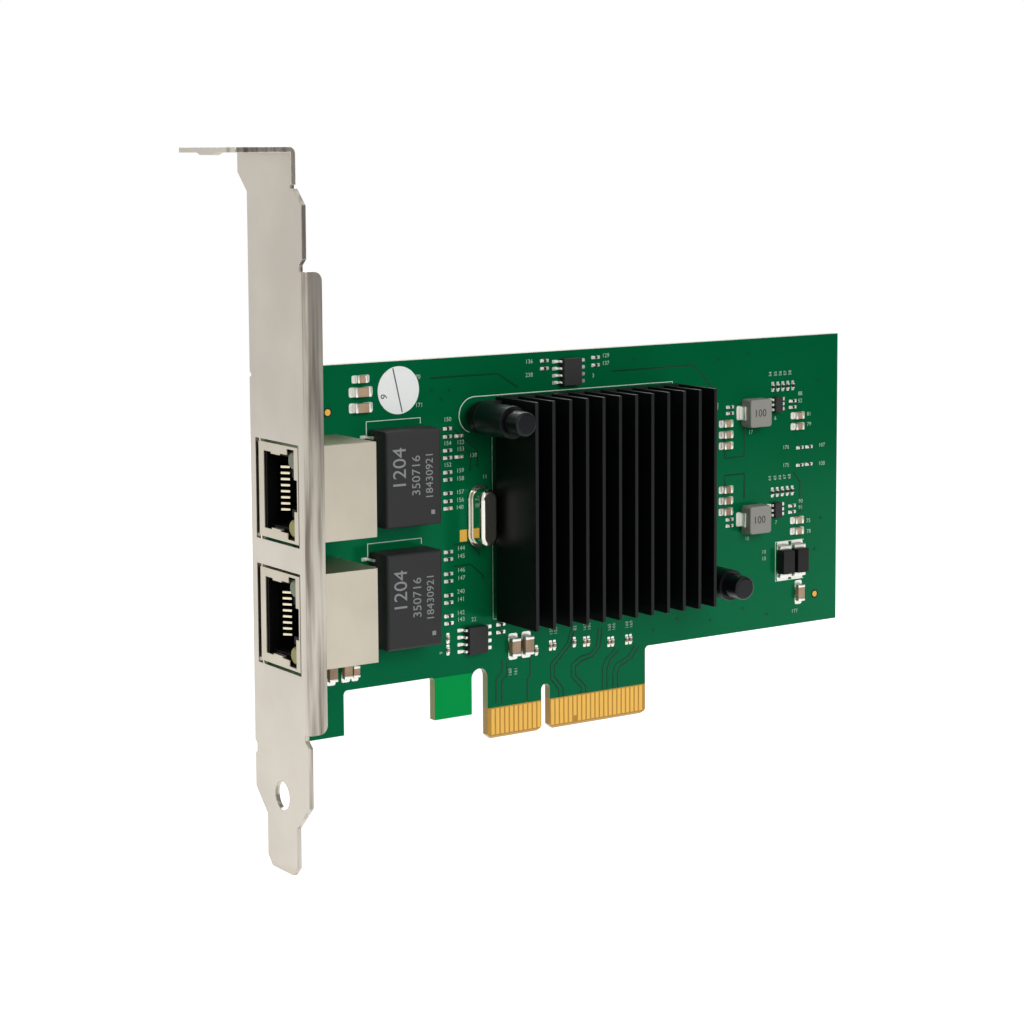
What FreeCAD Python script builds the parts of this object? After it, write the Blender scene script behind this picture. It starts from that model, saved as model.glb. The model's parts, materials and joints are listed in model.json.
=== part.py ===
import FreeCAD, Part
import math
import os
import re
import Sketcher

# Two-port network interface card for a four-lane expansion slot, with a full-height bracket.
#
# Millimetres. +X runs along the card from the bracket to its rear edge, +Z is up towards the
# bracket's tab, and the component side faces -Y. The origin is the reference of the slot:
# the middle of the key notch, half way through the board, at the lower end of the contacts.

doc = FreeCAD.newDocument("network_card")
dim = doc.addObject("Spreadsheet::Sheet", "dim")

SIZES = [
    # how far joined pieces start inside each other, and how far a cutter runs past what it cuts
    ("joint_overlap", 0.5),
    ("cut_overrun", 0.5),
    # board
    ("board_thickness", 1.57),
    ("board_height", 68.9),
    ("board_rear", 69.6),
    ("board_gap", 0.5),
    ("floor_height", 12.7),
    ("leg_bottom", 4.9),
    ("leg_rear", -42.15),
    ("keeper_front", -23.75),
    ("keeper_rear", -15.95),
    ("keeper_bottom", 5.0),
    ("relief_top", 13.1),
    ("relief_step", 2.0),
    ("corner_radius", 0.8),
    # edge contacts
    ("key_width", 1.9),
    ("key_top", 8.5),
    ("key_step", 3.0),
    ("front_fingers", 11.65),
    ("rear_fingers", 21.65),
    ("finger_corner", 0.8),
    ("bevel_depth", 0.45),
    ("contact_pitch", 1.0),
    ("contact_width", 0.7),
    ("contact_first", 1.5),
    ("contact_bottom", 0.7),
    ("contact_top", 5.4),
    ("contact_plating", 0.05),
    ("contact_setback", 1.1),
    # bracket
    ("bracket_reach", 58.01),
    ("sheet_thickness", 0.86),
    ("bracket_width", 18.42),
    ("bracket_height", 120.02),
    ("bracket_top", 105.6),
    ("tab_length", 11.43),
    ("tab_shift", 3.2),
    ("tab_shoulder", 101.5),
    ("tab_corner", 1.6),
    ("tab_notch", 4.4),
    ("tab_notch_reach", 6.2),
    ("tab_notch_depth", 4.0),
    ("lip_drop", 0.4),
    ("lip_width", 1.1),
    ("lip_start", 2.2),
    ("lip_length", 9.6),
    ("lip_slope", 2.4),
    ("front_step", 99.0),
    ("step_slit", 0.5),
    ("flange_bottom", 10.1),
    ("flange_top", 85.7),
    ("flange_depth", 3.65),
    ("flange_corner", 1.5),
    ("bend_radius", 1.1),
    ("bend_relief", 1.2),
    ("relief_height", 2.0),
    ("shoulder_z", -1.9),
    ("tongue_width", 10.19),
    ("tongue_shift", 0.2),
    ("tongue_corner", 1.5),
    ("tongue_hole", 4.8),
    ("tongue_hole_rise", 12.77),
    ("edge_notch", 0.6),
    ("ear_length", 9.0),
    ("ear_height", 8.2),
    ("ear_margin", 1.0),
    ("ear_screw_inset", 4.6),
    # bracket screws
    ("screw_diameter", 3.0),
    ("screw_head", 5.5),
    ("screw_head_height", 1.9),
    ("screw_clearance", 0.1),
    ("screw_head_top", 4.4),
    ("screw_tip", 0.6),
    ("screw_recess", 2.4),
    ("screw_recess_depth", 0.9),
    # ports
    ("port_pitch", 21.1),
    ("port_drop", 19.7),
    ("jack_width", 15.9),
    ("jack_height", 13.4),
    ("jack_length", 14.8),
    ("jack_recess", 0.15),
    ("shield_sheet", 0.3),
    ("window_clearance", 0.45),
    ("opening_margin", 1.5),
    ("opening_near", 2.5),
    ("opening_far", 12.8),
    ("lamp_window", 3.7),
    ("lamp_window_depth", 2.4),
    ("latch_width", 5.2),
    ("latch_far", 13.75),
    ("latch_lip", 0.4),
    ("latch_step", 3.0),
    ("plug_margin", 2.05),
    ("plug_near", 3.0),
    ("plug_far", 9.9),
    ("plug_depth", 12.0),
    ("jack_fit", 0.05),
    ("leg_width", 1.6),
    ("leg_slot_length", 2.1),
    ("leg_slot_width", 0.9),
    ("leg_drop_length", 1.2),
    ("leg_setback", 6.0),
    ("peg_diameter", 3.0),
    ("peg_hole", 3.2),
    ("peg_setback", 9.2),
    ("peg_margin", 2.25),
    ("finger_tongue", 3.0),
    ("lamp_diameter", 3.0),
    ("lamp_length", 8.0),
    ("lamp_margin", 2.35),
    ("lamp_far", 11.4),
    ("lamp_recess", 0.4),
    ("lamp_clearance", 0.2),
    ("spring_pitch", 1.02),
    ("spring_width", 0.4),
    ("spring_thickness", 0.3),
    ("spring_front", 2.9),
    ("spring_rise", 1.5),
    ("spring_run", 1.0),
    ("spring_room", 0.7),
    ("channel_depth", 1.1),
    ("pin_tail", 0.5),
    ("pin_tail_length", 1.3),
    ("pin_pitch", 1.27),
    ("pin_setback", 11.6),
    ("lamp_pin_setback", 3.98),
    ("lamp_pin_share", 0.45),
    # line transformers
    ("transformer_gap", 6.36),
    ("transformer_length", 11.1),
    ("transformer_width", 16.6),
    ("transformer_top", 6.0),
    ("transformer_seat", 0.3),
    ("transformer_edge", 0.4),
    ("transformer_lead_pitch", 1.27),
    # controller and its cooling
    ("cooler_shift", 39.25),
    ("cooler_ratio", 0.517),
    ("cooler_side", 40.0),
    ("cooler_base", 2.0),
    ("fin_height", 10.4),
    ("fin_thickness", 0.7),
    ("fin_count", 12),
    ("chip_side", 21.0),
    ("chip_height", 1.7),
    ("thermal_pad_side", 19.0),
    ("thermal_pad_height", 0.3),
    ("pin_front_reach", 3.1),
    ("pin_front_rise", 16.55),
    ("pin_rear_reach", 5.1),
    ("pin_rear_drop", 16.85),
    ("arm_radius", 2.9),
    ("sleeve_diameter", 5.7),
    ("sleeve_top", 12.4),
    ("plunger_head", 4.3),
    ("plunger_top", 16.4),
    ("plunger_shank", 1.9),
    ("sleeve_bore", 2.1),
    ("sleeve_shank", 3.0),
    ("pin_hole", 3.2),
    ("barb_diameter", 4.1),
    ("barb_tip", 2.6),
    ("barb_length", 3.0),
    ("barb_gap", 0.1),
    # crystal
    ("crystal_shift", 16.85),
    ("crystal_drop", 1.2),
    ("crystal_length", 10.2),
    ("crystal_width", 3.7),
    ("crystal_top", 3.9),
    ("crystal_rim", 0.5),
    ("crystal_base_height", 0.5),
    ("crystal_edge", 0.5),
    # small outline packages
    ("memory_shift", 2.8),
    ("memory_ratio", 0.9324),
    ("driver_shift", 15.85),
    ("driver_rise", 5.85),
    ("package_width", 3.9),
    ("package_length", 4.9),
    ("package_height", 1.45),
    ("package_seat", 0.15),
    ("package_lead_pitch", 1.27),
    ("lead_width", 0.46),
    ("lead_reach", 1.05),
    ("lead_thickness", 0.2),
    # power stage
    ("coil_inset", 21.6),
    ("coil_upper_ratio", 0.7509),
    ("coil_lower_ratio", 0.3879),
    ("coil_length", 5.2),
    ("coil_width", 5.3),
    ("coil_height", 3.0),
    ("coil_terminal", 0.35),
    ("coil_terminal_height", 1.8),
    ("coil_terminal_width", 2.65),
    ("coil_edge", 0.35),
    ("regulator_shift", 6.0),
    ("regulator_rise", 1.1),
    ("regulator_width", 1.7),
    ("regulator_length", 2.95),
    ("regulator_height", 1.1),
    ("regulator_pitch", 0.95),
    ("regulator_reach", 0.735),
    ("diode_shift", 7.9),
    ("diode_pitch", 3.6),
    ("diode_ratio", 0.226),
    ("diode_width", 2.8),
    ("diode_length", 4.6),
    ("diode_height", 2.1),
    ("diode_terminal", 0.8),
    # chip parts: each size's length, width, height and plated end
    ("layout_grid", 1.0),
    ("tiny_length", 1.0),
    ("tiny_width", 0.5),
    ("tiny_height", 0.35),
    ("tiny_end", 0.25),
    ("small_length", 2.0),
    ("small_width", 1.25),
    ("small_height", 0.85),
    ("small_end", 0.45),
    ("medium_length", 3.2),
    ("medium_width", 1.6),
    ("medium_height", 1.1),
    ("medium_end", 0.55),
    ("large_length", 3.3),
    ("large_width", 1.85),
    ("large_height", 1.3),
    ("large_end", 0.55),
    ("end_plating", 0.04),
    ("lamp_row_upper_ratio", 0.6139),
    ("lamp_row_lower_ratio", 0.5534),
    ("tall_capacitor_ratio", 0.1103),
    # label and bare pads
    ("label_shift", 0.55),
    ("label_ratio", 0.9101),
    ("label_diameter", 8.3),
    ("label_thickness", 0.1),
    ("fiducial_diameter", 1.1),
    ("fiducial_front", 12.05),
    ("fiducial_drop", 8.0),
    ("fiducial_rear", 5.5),
    ("fiducial_rise", 5.4),
    ("case_pad_length", 2.1),
    ("case_pad_width", 1.5),
    ("case_pad_shift", 3.95),
    ("case_pad_drop", 4.3),
    ("pad_thickness", 0.05),
]


def fill_sheet():
    """Write every driving size into the sheet under its alias."""
    for row, (alias, number) in enumerate(SIZES, start=1):
        dim.set(f"A{row}", alias)
        dim.set(f"B{row}", str(number))
        dim.setAlias(f"B{row}", alias)
    doc.recompute()


def linked(expression):
    """The expression with each alias written as a cell of the sheet."""
    return re.sub(r"\b([a-z]+(?:_[a-z]+)+)\b", r"dim.\1", str(expression))


def number(expression):
    """What an expression comes to now."""
    found = dim.evalExpression(linked(expression))
    return float(getattr(found, "Value", found))


# Places that several pieces share
FRONT = "(bracket_reach - sheet_thickness - board_gap)"
BACK_EDGE = "(board_thickness / 2 + sheet_thickness)"
FRONT_EDGE = f"({BACK_EDGE} - bracket_width)"
FACE = "(board_thickness / 2)"
JACK_FRONT = "(-bracket_reach + jack_recess)"
COOLER_SEAT = f"({FACE} + chip_height + thermal_pad_height)"
PORTS = {"lower": "(board_height - port_drop - port_pitch)", "upper": "(board_height - port_drop)"}
OPENING_WIDTH = "(jack_width - 2 * opening_margin)"
PLUG_WIDTH = "(jack_width - 2 * plug_margin)"
PEG_SPREAD = "(jack_width - 2 * peg_margin)"
LAMP_SPREAD = "(jack_width - 2 * lamp_margin)"
LAMP_ROOM = "(lamp_diameter + 2 * lamp_clearance)"
TRANSFORMER_X = f"({JACK_FRONT} + jack_length + transformer_gap + transformer_length / 2)"
COOLER_X = f"({TRANSFORMER_X} + cooler_shift)"
COOLER_Z = "(floor_height + cooler_ratio * (board_height - floor_height))"
CRYSTAL_X = f"({TRANSFORMER_X} + crystal_shift)"
CRYSTAL_Z = f"({COOLER_Z} - crystal_drop)"
DRIVER_X = f"({TRANSFORMER_X} + driver_shift)"
DRIVER_Z = "(floor_height + driver_rise)"
MEMORY_X = f"({COOLER_X} - memory_shift)"
MEMORY_Z = "(floor_height + memory_ratio * (board_height - floor_height))"
COIL_X = "(board_rear - coil_inset)"
COILS = {
    "upper": "(floor_height + coil_upper_ratio * (board_height - floor_height))",
    "lower": "(floor_height + coil_lower_ratio * (board_height - floor_height))",
}
DIODE_X = f"({COIL_X} + diode_shift)"
DIODE_Z = "(floor_height + diode_ratio * (board_height - floor_height))"
LABEL_X = f"({TRANSFORMER_X} + label_shift)"
LABEL_Z = "(floor_height + label_ratio * (board_height - floor_height))"
PINS = {
    "front": (f"({COOLER_X} - cooler_side / 2 - pin_front_reach)", f"({COOLER_Z} + pin_front_rise)"),
    "rear": (f"({COOLER_X} + cooler_side / 2 + pin_rear_reach)", f"({COOLER_Z} - pin_rear_drop)"),
}
EARS = {
    "lower": ("(leg_bottom + ear_margin)", "(leg_bottom + ear_margin + ear_height)"),
    "upper": ("(board_height - 1.5 * ear_margin - ear_height)", "(board_height - 1.5 * ear_margin)"),
}
EAR_SCREW_X = "(-bracket_reach + ear_screw_inset)"

WAYS = 8
TRANSFORMER_LEADS = 12
PACKAGE_LEADS = 4
REGULATOR_LEADS = 3
FRONT_CONTACTS = 11
CONTACTS = 32
SHORT_CONTACT = 16

SUBPARTS = []


# ---------------------------------------------------------------- making objects

def subpart(made, label):
    """Name an object as a sub-part of the card."""
    made.Label = label
    SUBPARTS.append(made)
    return made


def place(made, corner):
    for axis, expression in zip("xyz", corner):
        made.setExpression(f"Placement.Base.{axis}", linked(expression))


def box(name, size, corner):
    """A block from its lowest corner; sizes and corner are expressions along X, Y and Z."""
    made = doc.addObject("Part::Box", name)
    for side, expression in zip(("Length", "Width", "Height"), size):
        made.setExpression(side, linked(expression))
    place(made, corner)
    return made


TURNS = {
    "front": FreeCAD.Rotation(FreeCAD.Vector(1, 0, 0), 90),
    "back": FreeCAD.Rotation(FreeCAD.Vector(1, 0, 0), -90),
    "rear": FreeCAD.Rotation(FreeCAD.Vector(0, 1, 0), 90),
}


def cylinder(name, diameter, length, base, towards):
    """A round bar that starts at base and runs to the front (-Y), back (+Y) or rear (+X)."""
    made = doc.addObject("Part::Cylinder", name)
    made.setExpression("Radius", linked(f"({diameter}) / 2"))
    made.setExpression("Height", linked(length))
    made.Placement = FreeCAD.Placement(FreeCAD.Vector(), TURNS[towards])
    place(made, base)
    return made


def cone(name, start, end, length, base, towards):
    """A taper from the diameter start at base to the diameter end."""
    made = doc.addObject("Part::Cone", name)
    made.setExpression("Radius1", linked(f"({start}) / 2"))
    made.setExpression("Radius2", linked(f"({end}) / 2"))
    made.setExpression("Height", linked(length))
    made.Placement = FreeCAD.Placement(FreeCAD.Vector(), TURNS[towards])
    place(made, base)
    return made


def fuse(name, shapes):
    made = doc.addObject("Part::MultiFuse", name)
    made.Shapes = shapes
    made.Refine = True
    return made


def cut(name, base, tool):
    made = doc.addObject("Part::Cut", name)
    made.Base = base
    made.Tool = tool
    return made


def group(label, pieces):
    """Like pieces that stay separate solids of one sub-part."""
    made = doc.addObject("Part::Compound", label)
    made.Links = pieces
    return subpart(made, label)


def body(label):
    return subpart(doc.addObject("PartDesign::Body", label), label)


def sketch(host, name, role, offset):
    """A sketch on one of the body's own origin planes, moved along that plane's normal."""
    made = host.newObject("Sketcher::SketchObject", name)
    plane = next(found for found in host.Origin.OriginFeatures if found.Role == role)
    made.AttachmentSupport = [(plane, "")]
    made.MapMode = "FlatFace"
    made.setExpression("AttachmentOffset.Base.z", linked(offset))
    return made


def pin_point(made, geometry, point, across, up):
    """Hold a point of a sketch at two expressions."""
    for kind, expression in (("DistanceX", across), ("DistanceY", up)):
        held = Sketcher.Constraint(kind, -1, 1, geometry, point, number(expression))
        index = made.addConstraint(held)
        made.setExpression(f"Constraints[{index}]", linked(expression))


def outline(made, corners):
    """A closed outline of straight lines, each corner a pair of expressions."""
    first = made.GeometryCount
    count = len(corners)
    places = [FreeCAD.Vector(number(across), number(up), 0) for across, up in corners]
    for start, end in zip(places, places[1:] + places[:1]):
        made.addGeometry(Part.LineSegment(start, end), False)
    for index in range(count):
        following = first + (index + 1) % count
        made.addConstraint(Sketcher.Constraint("Coincident", first + index, 2, following, 1))
    for index, (across, up) in enumerate(corners):
        pin_point(made, first + index, 1, across, up)


def rectangle(made, left, right, low, high):
    outline(made, [(left, low), (right, low), (right, high), (left, high)])


def circle(made, across, up, diameter):
    centre = FreeCAD.Vector(number(across), number(up), 0)
    index = made.addGeometry(
        Part.Circle(centre, FreeCAD.Vector(0, 0, 1), number(diameter) / 2), False)
    pin_point(made, index, 3, across, up)
    held = made.addConstraint(Sketcher.Constraint("Diameter", index, number(diameter)))
    made.setExpression(f"Constraints[{held}]", linked(diameter))


def arch(made, left, right, low, spring):
    """A slot with a round upper end: two uprights, a foot and a half circle over them."""
    first = made.GeometryCount
    x_left, x_right = number(left), number(right)
    z_low, z_spring = number(low), number(spring)
    corner = [
        FreeCAD.Vector(x_left, z_spring, 0),
        FreeCAD.Vector(x_left, z_low, 0),
        FreeCAD.Vector(x_right, z_low, 0),
        FreeCAD.Vector(x_right, z_spring, 0),
    ]
    for start, end in zip(corner[:3], corner[1:]):
        made.addGeometry(Part.LineSegment(start, end), False)
    middle = FreeCAD.Vector((x_left + x_right) / 2, z_spring, 0)
    around = Part.Circle(middle, FreeCAD.Vector(0, 0, 1), (x_right - x_left) / 2)
    made.addGeometry(Part.ArcOfCircle(around, 0, math.pi), False)
    made.addConstraint(Sketcher.Constraint("Coincident", first, 2, first + 1, 1))
    made.addConstraint(Sketcher.Constraint("Coincident", first + 1, 2, first + 2, 1))
    made.addConstraint(Sketcher.Constraint("Coincident", first + 2, 2, first + 3, 1))
    made.addConstraint(Sketcher.Constraint("Coincident", first + 3, 2, first, 1))
    pin_point(made, first, 1, left, spring)
    pin_point(made, first + 1, 1, left, low)
    pin_point(made, first + 2, 1, right, low)
    pin_point(made, first + 2, 2, right, spring)
    level = made.addConstraint(
        Sketcher.Constraint("DistanceY", -1, 1, first + 3, 3, number(spring)))
    made.setExpression(f"Constraints[{level}]", linked(spring))


def pad(host, profile, length, reverse=False):
    made = host.newObject("PartDesign::Pad", f"{profile.Name}_pad")
    made.Profile = profile
    made.setExpression("Length", linked(length))
    made.Reversed = reverse
    doc.recompute()
    return made


def pocket(host, profile, length, reverse=False):
    """Cut a profile into the body, and see that something was cut."""
    before = host.Shape.Volume
    made = host.newObject("PartDesign::Pocket", f"{profile.Name}_pocket")
    made.Profile = profile
    made.setExpression("Length", linked(length))
    made.Reversed = reverse
    doc.recompute()
    if host.Shape.Volume >= before:
        raise RuntimeError(f"{profile.Name} cuts nothing")
    return made


def edges_where(shape, wanted):
    """Names of the edges of a shape whose two end points both pass a test."""
    names = []
    for index, edge in enumerate(shape.Edges, start=1):
        ends = [vertex.Point for vertex in edge.Vertexes]
        if len(ends) == 2 and wanted(*ends):
            names.append(f"Edge{index}")
    return names


def near(one, other):
    return abs(one - other) < 0.01


def round_edges(host, name, radius, wanted):
    last = host.Tip
    names = edges_where(last.Shape, wanted)
    made = host.newObject("PartDesign::Fillet", name)
    made.Base = (last, names)
    made.setExpression("Radius", linked(radius))
    host.Tip = made
    doc.recompute()


def bevel_edges(host, name, size, wanted):
    last = host.Tip
    names = edges_where(last.Shape, wanted)
    made = host.newObject("PartDesign::Chamfer", name)
    made.Base = (last, names)
    made.setExpression("Size", linked(size))
    host.Tip = made
    doc.recompute()


# ---------------------------------------------------------------- board

def make_board():
    """The glass-fibre board: leg behind the bracket, keeper, key notch and contact edge."""
    host = body("pcb")
    shape = sketch(host, "board_outline", "XZ_Plane", f"-{FACE}")
    front_end = "-(key_width / 2 + front_fingers)"
    rear_end = "(key_width / 2 + rear_fingers)"
    outline(shape, [
        (f"-{FRONT}", "board_height"),
        (f"-{FRONT}", "leg_bottom"),
        ("leg_rear", "leg_bottom"),
        ("leg_rear", "floor_height"),
        ("keeper_front", "floor_height"),
        ("keeper_front", "keeper_bottom"),
        ("keeper_rear", "keeper_bottom"),
        ("keeper_rear", "floor_height - relief_step"),
        (front_end, "floor_height - relief_step"),
        (front_end, "finger_corner"),
        (f"{front_end} + finger_corner", "0"),
        ("-key_width / 2 - finger_corner", "0"),
        ("-key_width / 2", "finger_corner"),
        ("-key_width / 2", "key_top - key_step"),
        ("key_width / 2", "key_top - key_step"),
        ("key_width / 2", "finger_corner"),
        ("key_width / 2 + finger_corner", "0"),
        (f"{rear_end} - finger_corner", "0"),
        (rear_end, "finger_corner"),
        (rear_end, "floor_height"),
        ("board_rear", "floor_height"),
        ("board_rear", "board_height"),
    ])
    pad(host, shape, "board_thickness")

    slots = sketch(host, "board_slots", "XZ_Plane", FACE)
    arch(slots, "keeper_rear", front_end, "floor_height - relief_step - cut_overrun",
         f"relief_top - ({front_end} - keeper_rear) / 2")
    arch(slots, "-key_width / 2", "key_width / 2", "key_top - key_step - cut_overrun",
         "key_top - key_width / 2")
    pocket(host, slots, "board_thickness")

    holes = sketch(host, "board_holes", "XZ_Plane", FACE)
    for across, up in PINS.values():
        circle(holes, across, up, "pin_hole")
    for low, high in EARS.values():
        circle(holes, EAR_SCREW_X, f"({low} + {high}) / 2", "screw_diameter + 2 * screw_clearance")
    for height in PORTS.values():
        for side in ("+", "-"):
            circle(holes, f"{JACK_FRONT} + peg_setback", f"{height} {side} {PEG_SPREAD} / 2", "peg_hole")
            across = f"{JACK_FRONT} + leg_setback"
            up = f"{height} {side} (jack_width - shield_sheet) / 2"
            rectangle(holes, f"{across} - leg_slot_length / 2", f"{across} + leg_slot_length / 2",
                      f"{up} - leg_slot_width / 2", f"{up} + leg_slot_width / 2")
    pocket(host, holes, "board_thickness")

    floor = number("floor_height")
    corners = (number("leg_rear"), number("keeper_front"), number(rear_end))
    round_edges(
        host, "inner_corners", "corner_radius",
        lambda a, b: near(a.z, floor) and near(a.x, b.x) and near(a.z, b.z)
        and any(near(a.x, corner) for corner in corners))
    half = number(FACE)
    bevel_edges(
        host, "contact_bevel", "bevel_depth",
        lambda a, b: near(a.z, 0) and near(b.z, 0) and near(a.y, b.y) and near(abs(a.y), half))


def make_edge_contacts():
    """Gold contacts on both faces, before the key notch and behind it; one stops short."""
    pieces = []
    sides = {"solder": FACE, "component": f"-{FACE} - contact_plating"}
    for side, depth in sides.items():
        for index in range(CONTACTS):
            behind = index >= FRONT_CONTACTS
            step = index - FRONT_CONTACTS if behind else FRONT_CONTACTS - 1 - index
            sign = "" if behind else "-"
            middle = f"{sign}(contact_first + {step} * contact_pitch)"
            short = side == "component" and index == SHORT_CONTACT
            low = "contact_bottom + contact_setback" if short else "contact_bottom"
            pieces.append(box(
                f"{side}_contact", ("contact_width", "contact_plating", f"contact_top - ({low})"),
                (f"{middle} - contact_width / 2", depth, low)))
    group("edge_contacts", pieces)


# ---------------------------------------------------------------- bracket

def make_bracket():
    """Folded sheet bracket: strip with two port windows, tab, stiffening flange and two ears."""
    host = body("bracket")
    centre = f"({BACK_EDGE} - bracket_width / 2)"
    tongue_back = f"({centre} + tongue_shift + tongue_width / 2)"
    tongue_front = f"({centre} + tongue_shift - tongue_width / 2)"
    tip = "(bracket_top - bracket_height)"
    strip = sketch(host, "strip", "YZ_Plane", "-bracket_reach")
    outline(strip, [
        (f"{BACK_EDGE} + tab_shift", "bracket_top"),
        (f"{BACK_EDGE} + tab_shift", "tab_shoulder"),
        (BACK_EDGE, "tab_shoulder - tab_shift"),
        (BACK_EDGE, "board_height - ear_margin + edge_notch"),
        (f"{BACK_EDGE} - edge_notch", "board_height - ear_margin"),
        (BACK_EDGE, "board_height - ear_margin - edge_notch / 2"),
        (BACK_EDGE, "leg_bottom + 2 * edge_notch"),
        (f"{BACK_EDGE} - edge_notch", "leg_bottom + edge_notch"),
        (f"{BACK_EDGE} - edge_notch", "leg_bottom - edge_notch"),
        (BACK_EDGE, "leg_bottom - 2 * edge_notch"),
        (BACK_EDGE, "shoulder_z"),
        (tongue_back, f"shoulder_z - ({BACK_EDGE} - {tongue_back})"),
        (tongue_back, f"{tip} + tongue_corner"),
        (f"{tongue_back} - tongue_corner", tip),
        (f"{tongue_front} + tongue_corner", tip),
        (tongue_front, f"{tip} + tongue_corner"),
        (tongue_front, f"shoulder_z - ({tongue_front} - {FRONT_EDGE})"),
        (FRONT_EDGE, "shoulder_z"),
        (FRONT_EDGE, "flange_bottom - relief_height"),
        (f"{FRONT_EDGE} + bend_relief", "flange_bottom - relief_height / 2"),
        (f"{FRONT_EDGE} + bend_relief", "flange_bottom"),
        (FRONT_EDGE, "flange_bottom"),
        (FRONT_EDGE, "flange_top"),
        (f"{FRONT_EDGE} + bend_relief", "flange_top"),
        (f"{FRONT_EDGE} + bend_relief", "flange_top + relief_height / 2"),
        (FRONT_EDGE, "flange_top + relief_height"),
        (FRONT_EDGE, "front_step - tab_shift + step_slit"),
        (f"{FRONT_EDGE} + tab_shift - step_slit", "front_step"),
        (f"{FRONT_EDGE} + tab_shift + step_slit", "front_step"),
        (f"{FRONT_EDGE} + tab_shift + step_slit", "front_step + step_slit"),
        (f"{FRONT_EDGE} + tab_shift", "front_step + step_slit"),
        (f"{FRONT_EDGE} + tab_shift", "bracket_top"),
    ])
    pad(host, strip, "sheet_thickness")

    tab_end = "-(bracket_reach + tab_length)"
    tab = sketch(host, "tab", "XY_Plane", "bracket_top - sheet_thickness")
    outline(tab, [
        ("-bracket_reach + sheet_thickness", f"{FRONT_EDGE} + tab_shift"),
        ("-bracket_reach + sheet_thickness", f"{BACK_EDGE} + tab_shift"),
        (f"{tab_end} + tab_corner", f"{BACK_EDGE} + tab_shift"),
        (tab_end, f"{BACK_EDGE} + tab_shift - tab_corner"),
        (tab_end, f"{FRONT_EDGE} + tab_shift + tab_corner"),
        (f"{tab_end} + tab_corner", f"{FRONT_EDGE} + tab_shift"),
    ])
    pad(host, tab, "sheet_thickness")

    notch = sketch(host, "tab_screw_notch", "XY_Plane", "bracket_top")
    notch_x = "-(bracket_reach + tab_notch_reach)"
    notch_y = f"{BACK_EDGE} + tab_shift - tab_notch_depth + tab_notch / 2"
    circle(notch, notch_x, notch_y, "tab_notch")
    pocket(host, notch, "sheet_thickness")
    mouth = sketch(host, "tab_screw_mouth", "XY_Plane", "bracket_top")
    rectangle(mouth, f"{notch_x} - tab_notch / 2", f"{notch_x} + tab_notch / 2",
              notch_y, f"{BACK_EDGE} + tab_shift + cut_overrun")
    pocket(host, mouth, "sheet_thickness")

    lip = sketch(host, "tab_lip", "YZ_Plane", f"{tab_end}")
    lip_near = f"({FRONT_EDGE} + tab_shift + lip_start)"
    underside = "(bracket_top - sheet_thickness)"
    outline(lip, [
        (lip_near, f"{underside} + sheet_thickness / 2"),
        (f"{lip_near} + lip_slope", f"{underside} - lip_drop"),
        (f"{lip_near} + lip_length - lip_slope", f"{underside} - lip_drop"),
        (f"{lip_near} + lip_length", f"{underside} + sheet_thickness / 2"),
    ])
    pad(host, lip, "lip_width")

    flange = sketch(host, "flange", "XZ_Plane", f"-{FRONT_EDGE}")
    rectangle(flange, "-bracket_reach", "-bracket_reach + flange_depth", "flange_bottom", "flange_top")
    pad(host, flange, "sheet_thickness", reverse=True)

    ears = sketch(host, "ears", "XZ_Plane", f"-{BACK_EDGE}")
    for low, high in EARS.values():
        rectangle(ears, "-bracket_reach", "-bracket_reach + ear_length", low, high)
    pad(host, ears, "sheet_thickness")

    ear_holes = sketch(host, "ear_holes", "XZ_Plane", f"-{FACE}")
    for low, high in EARS.values():
        circle(ear_holes, EAR_SCREW_X, f"({low} + {high}) / 2", "screw_diameter + screw_clearance")
    pocket(host, ear_holes, "sheet_thickness")

    windows = sketch(host, "port_windows", "YZ_Plane", "-bracket_reach + sheet_thickness")
    for height in PORTS.values():
        half = "(jack_width / 2 + window_clearance)"
        rectangle(windows, f"-{FACE} - jack_height - window_clearance", "0",
                  f"{height} - {half}", f"{height} + {half}")
    pocket(host, windows, "sheet_thickness")

    hole = sketch(host, "tongue_hole", "YZ_Plane", "-bracket_reach + sheet_thickness")
    circle(hole, centre, f"{tip} + tongue_hole_rise", "tongue_hole")
    pocket(host, hole, "sheet_thickness")

    outer_x = number("-bracket_reach")
    flange_y = number(FRONT_EDGE)
    flange_low, flange_high = number("flange_bottom"), number("flange_top")
    top = number("bracket_top")
    inner_x = number("-bracket_reach + sheet_thickness")
    flange_x = number("-bracket_reach + flange_depth")
    round_edges(
        host, "flange_bend", "bend_radius",
        lambda a, b: near(a.x, outer_x) and near(b.x, outer_x) and near(a.y, flange_y)
        and near(b.y, flange_y) and near(min(a.z, b.z), flange_low)
        and near(max(a.z, b.z), flange_high))
    round_edges(
        host, "tab_bend", "bend_radius",
        lambda a, b: near(a.x, inner_x) and near(b.x, inner_x) and near(a.z, top) and near(b.z, top))
    round_edges(
        host, "flange_corners", "flange_corner",
        lambda a, b: near(a.x, flange_x) and near(b.x, flange_x) and near(a.z, b.z)
        and (near(a.z, flange_low) or near(a.z, flange_high)))


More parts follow.
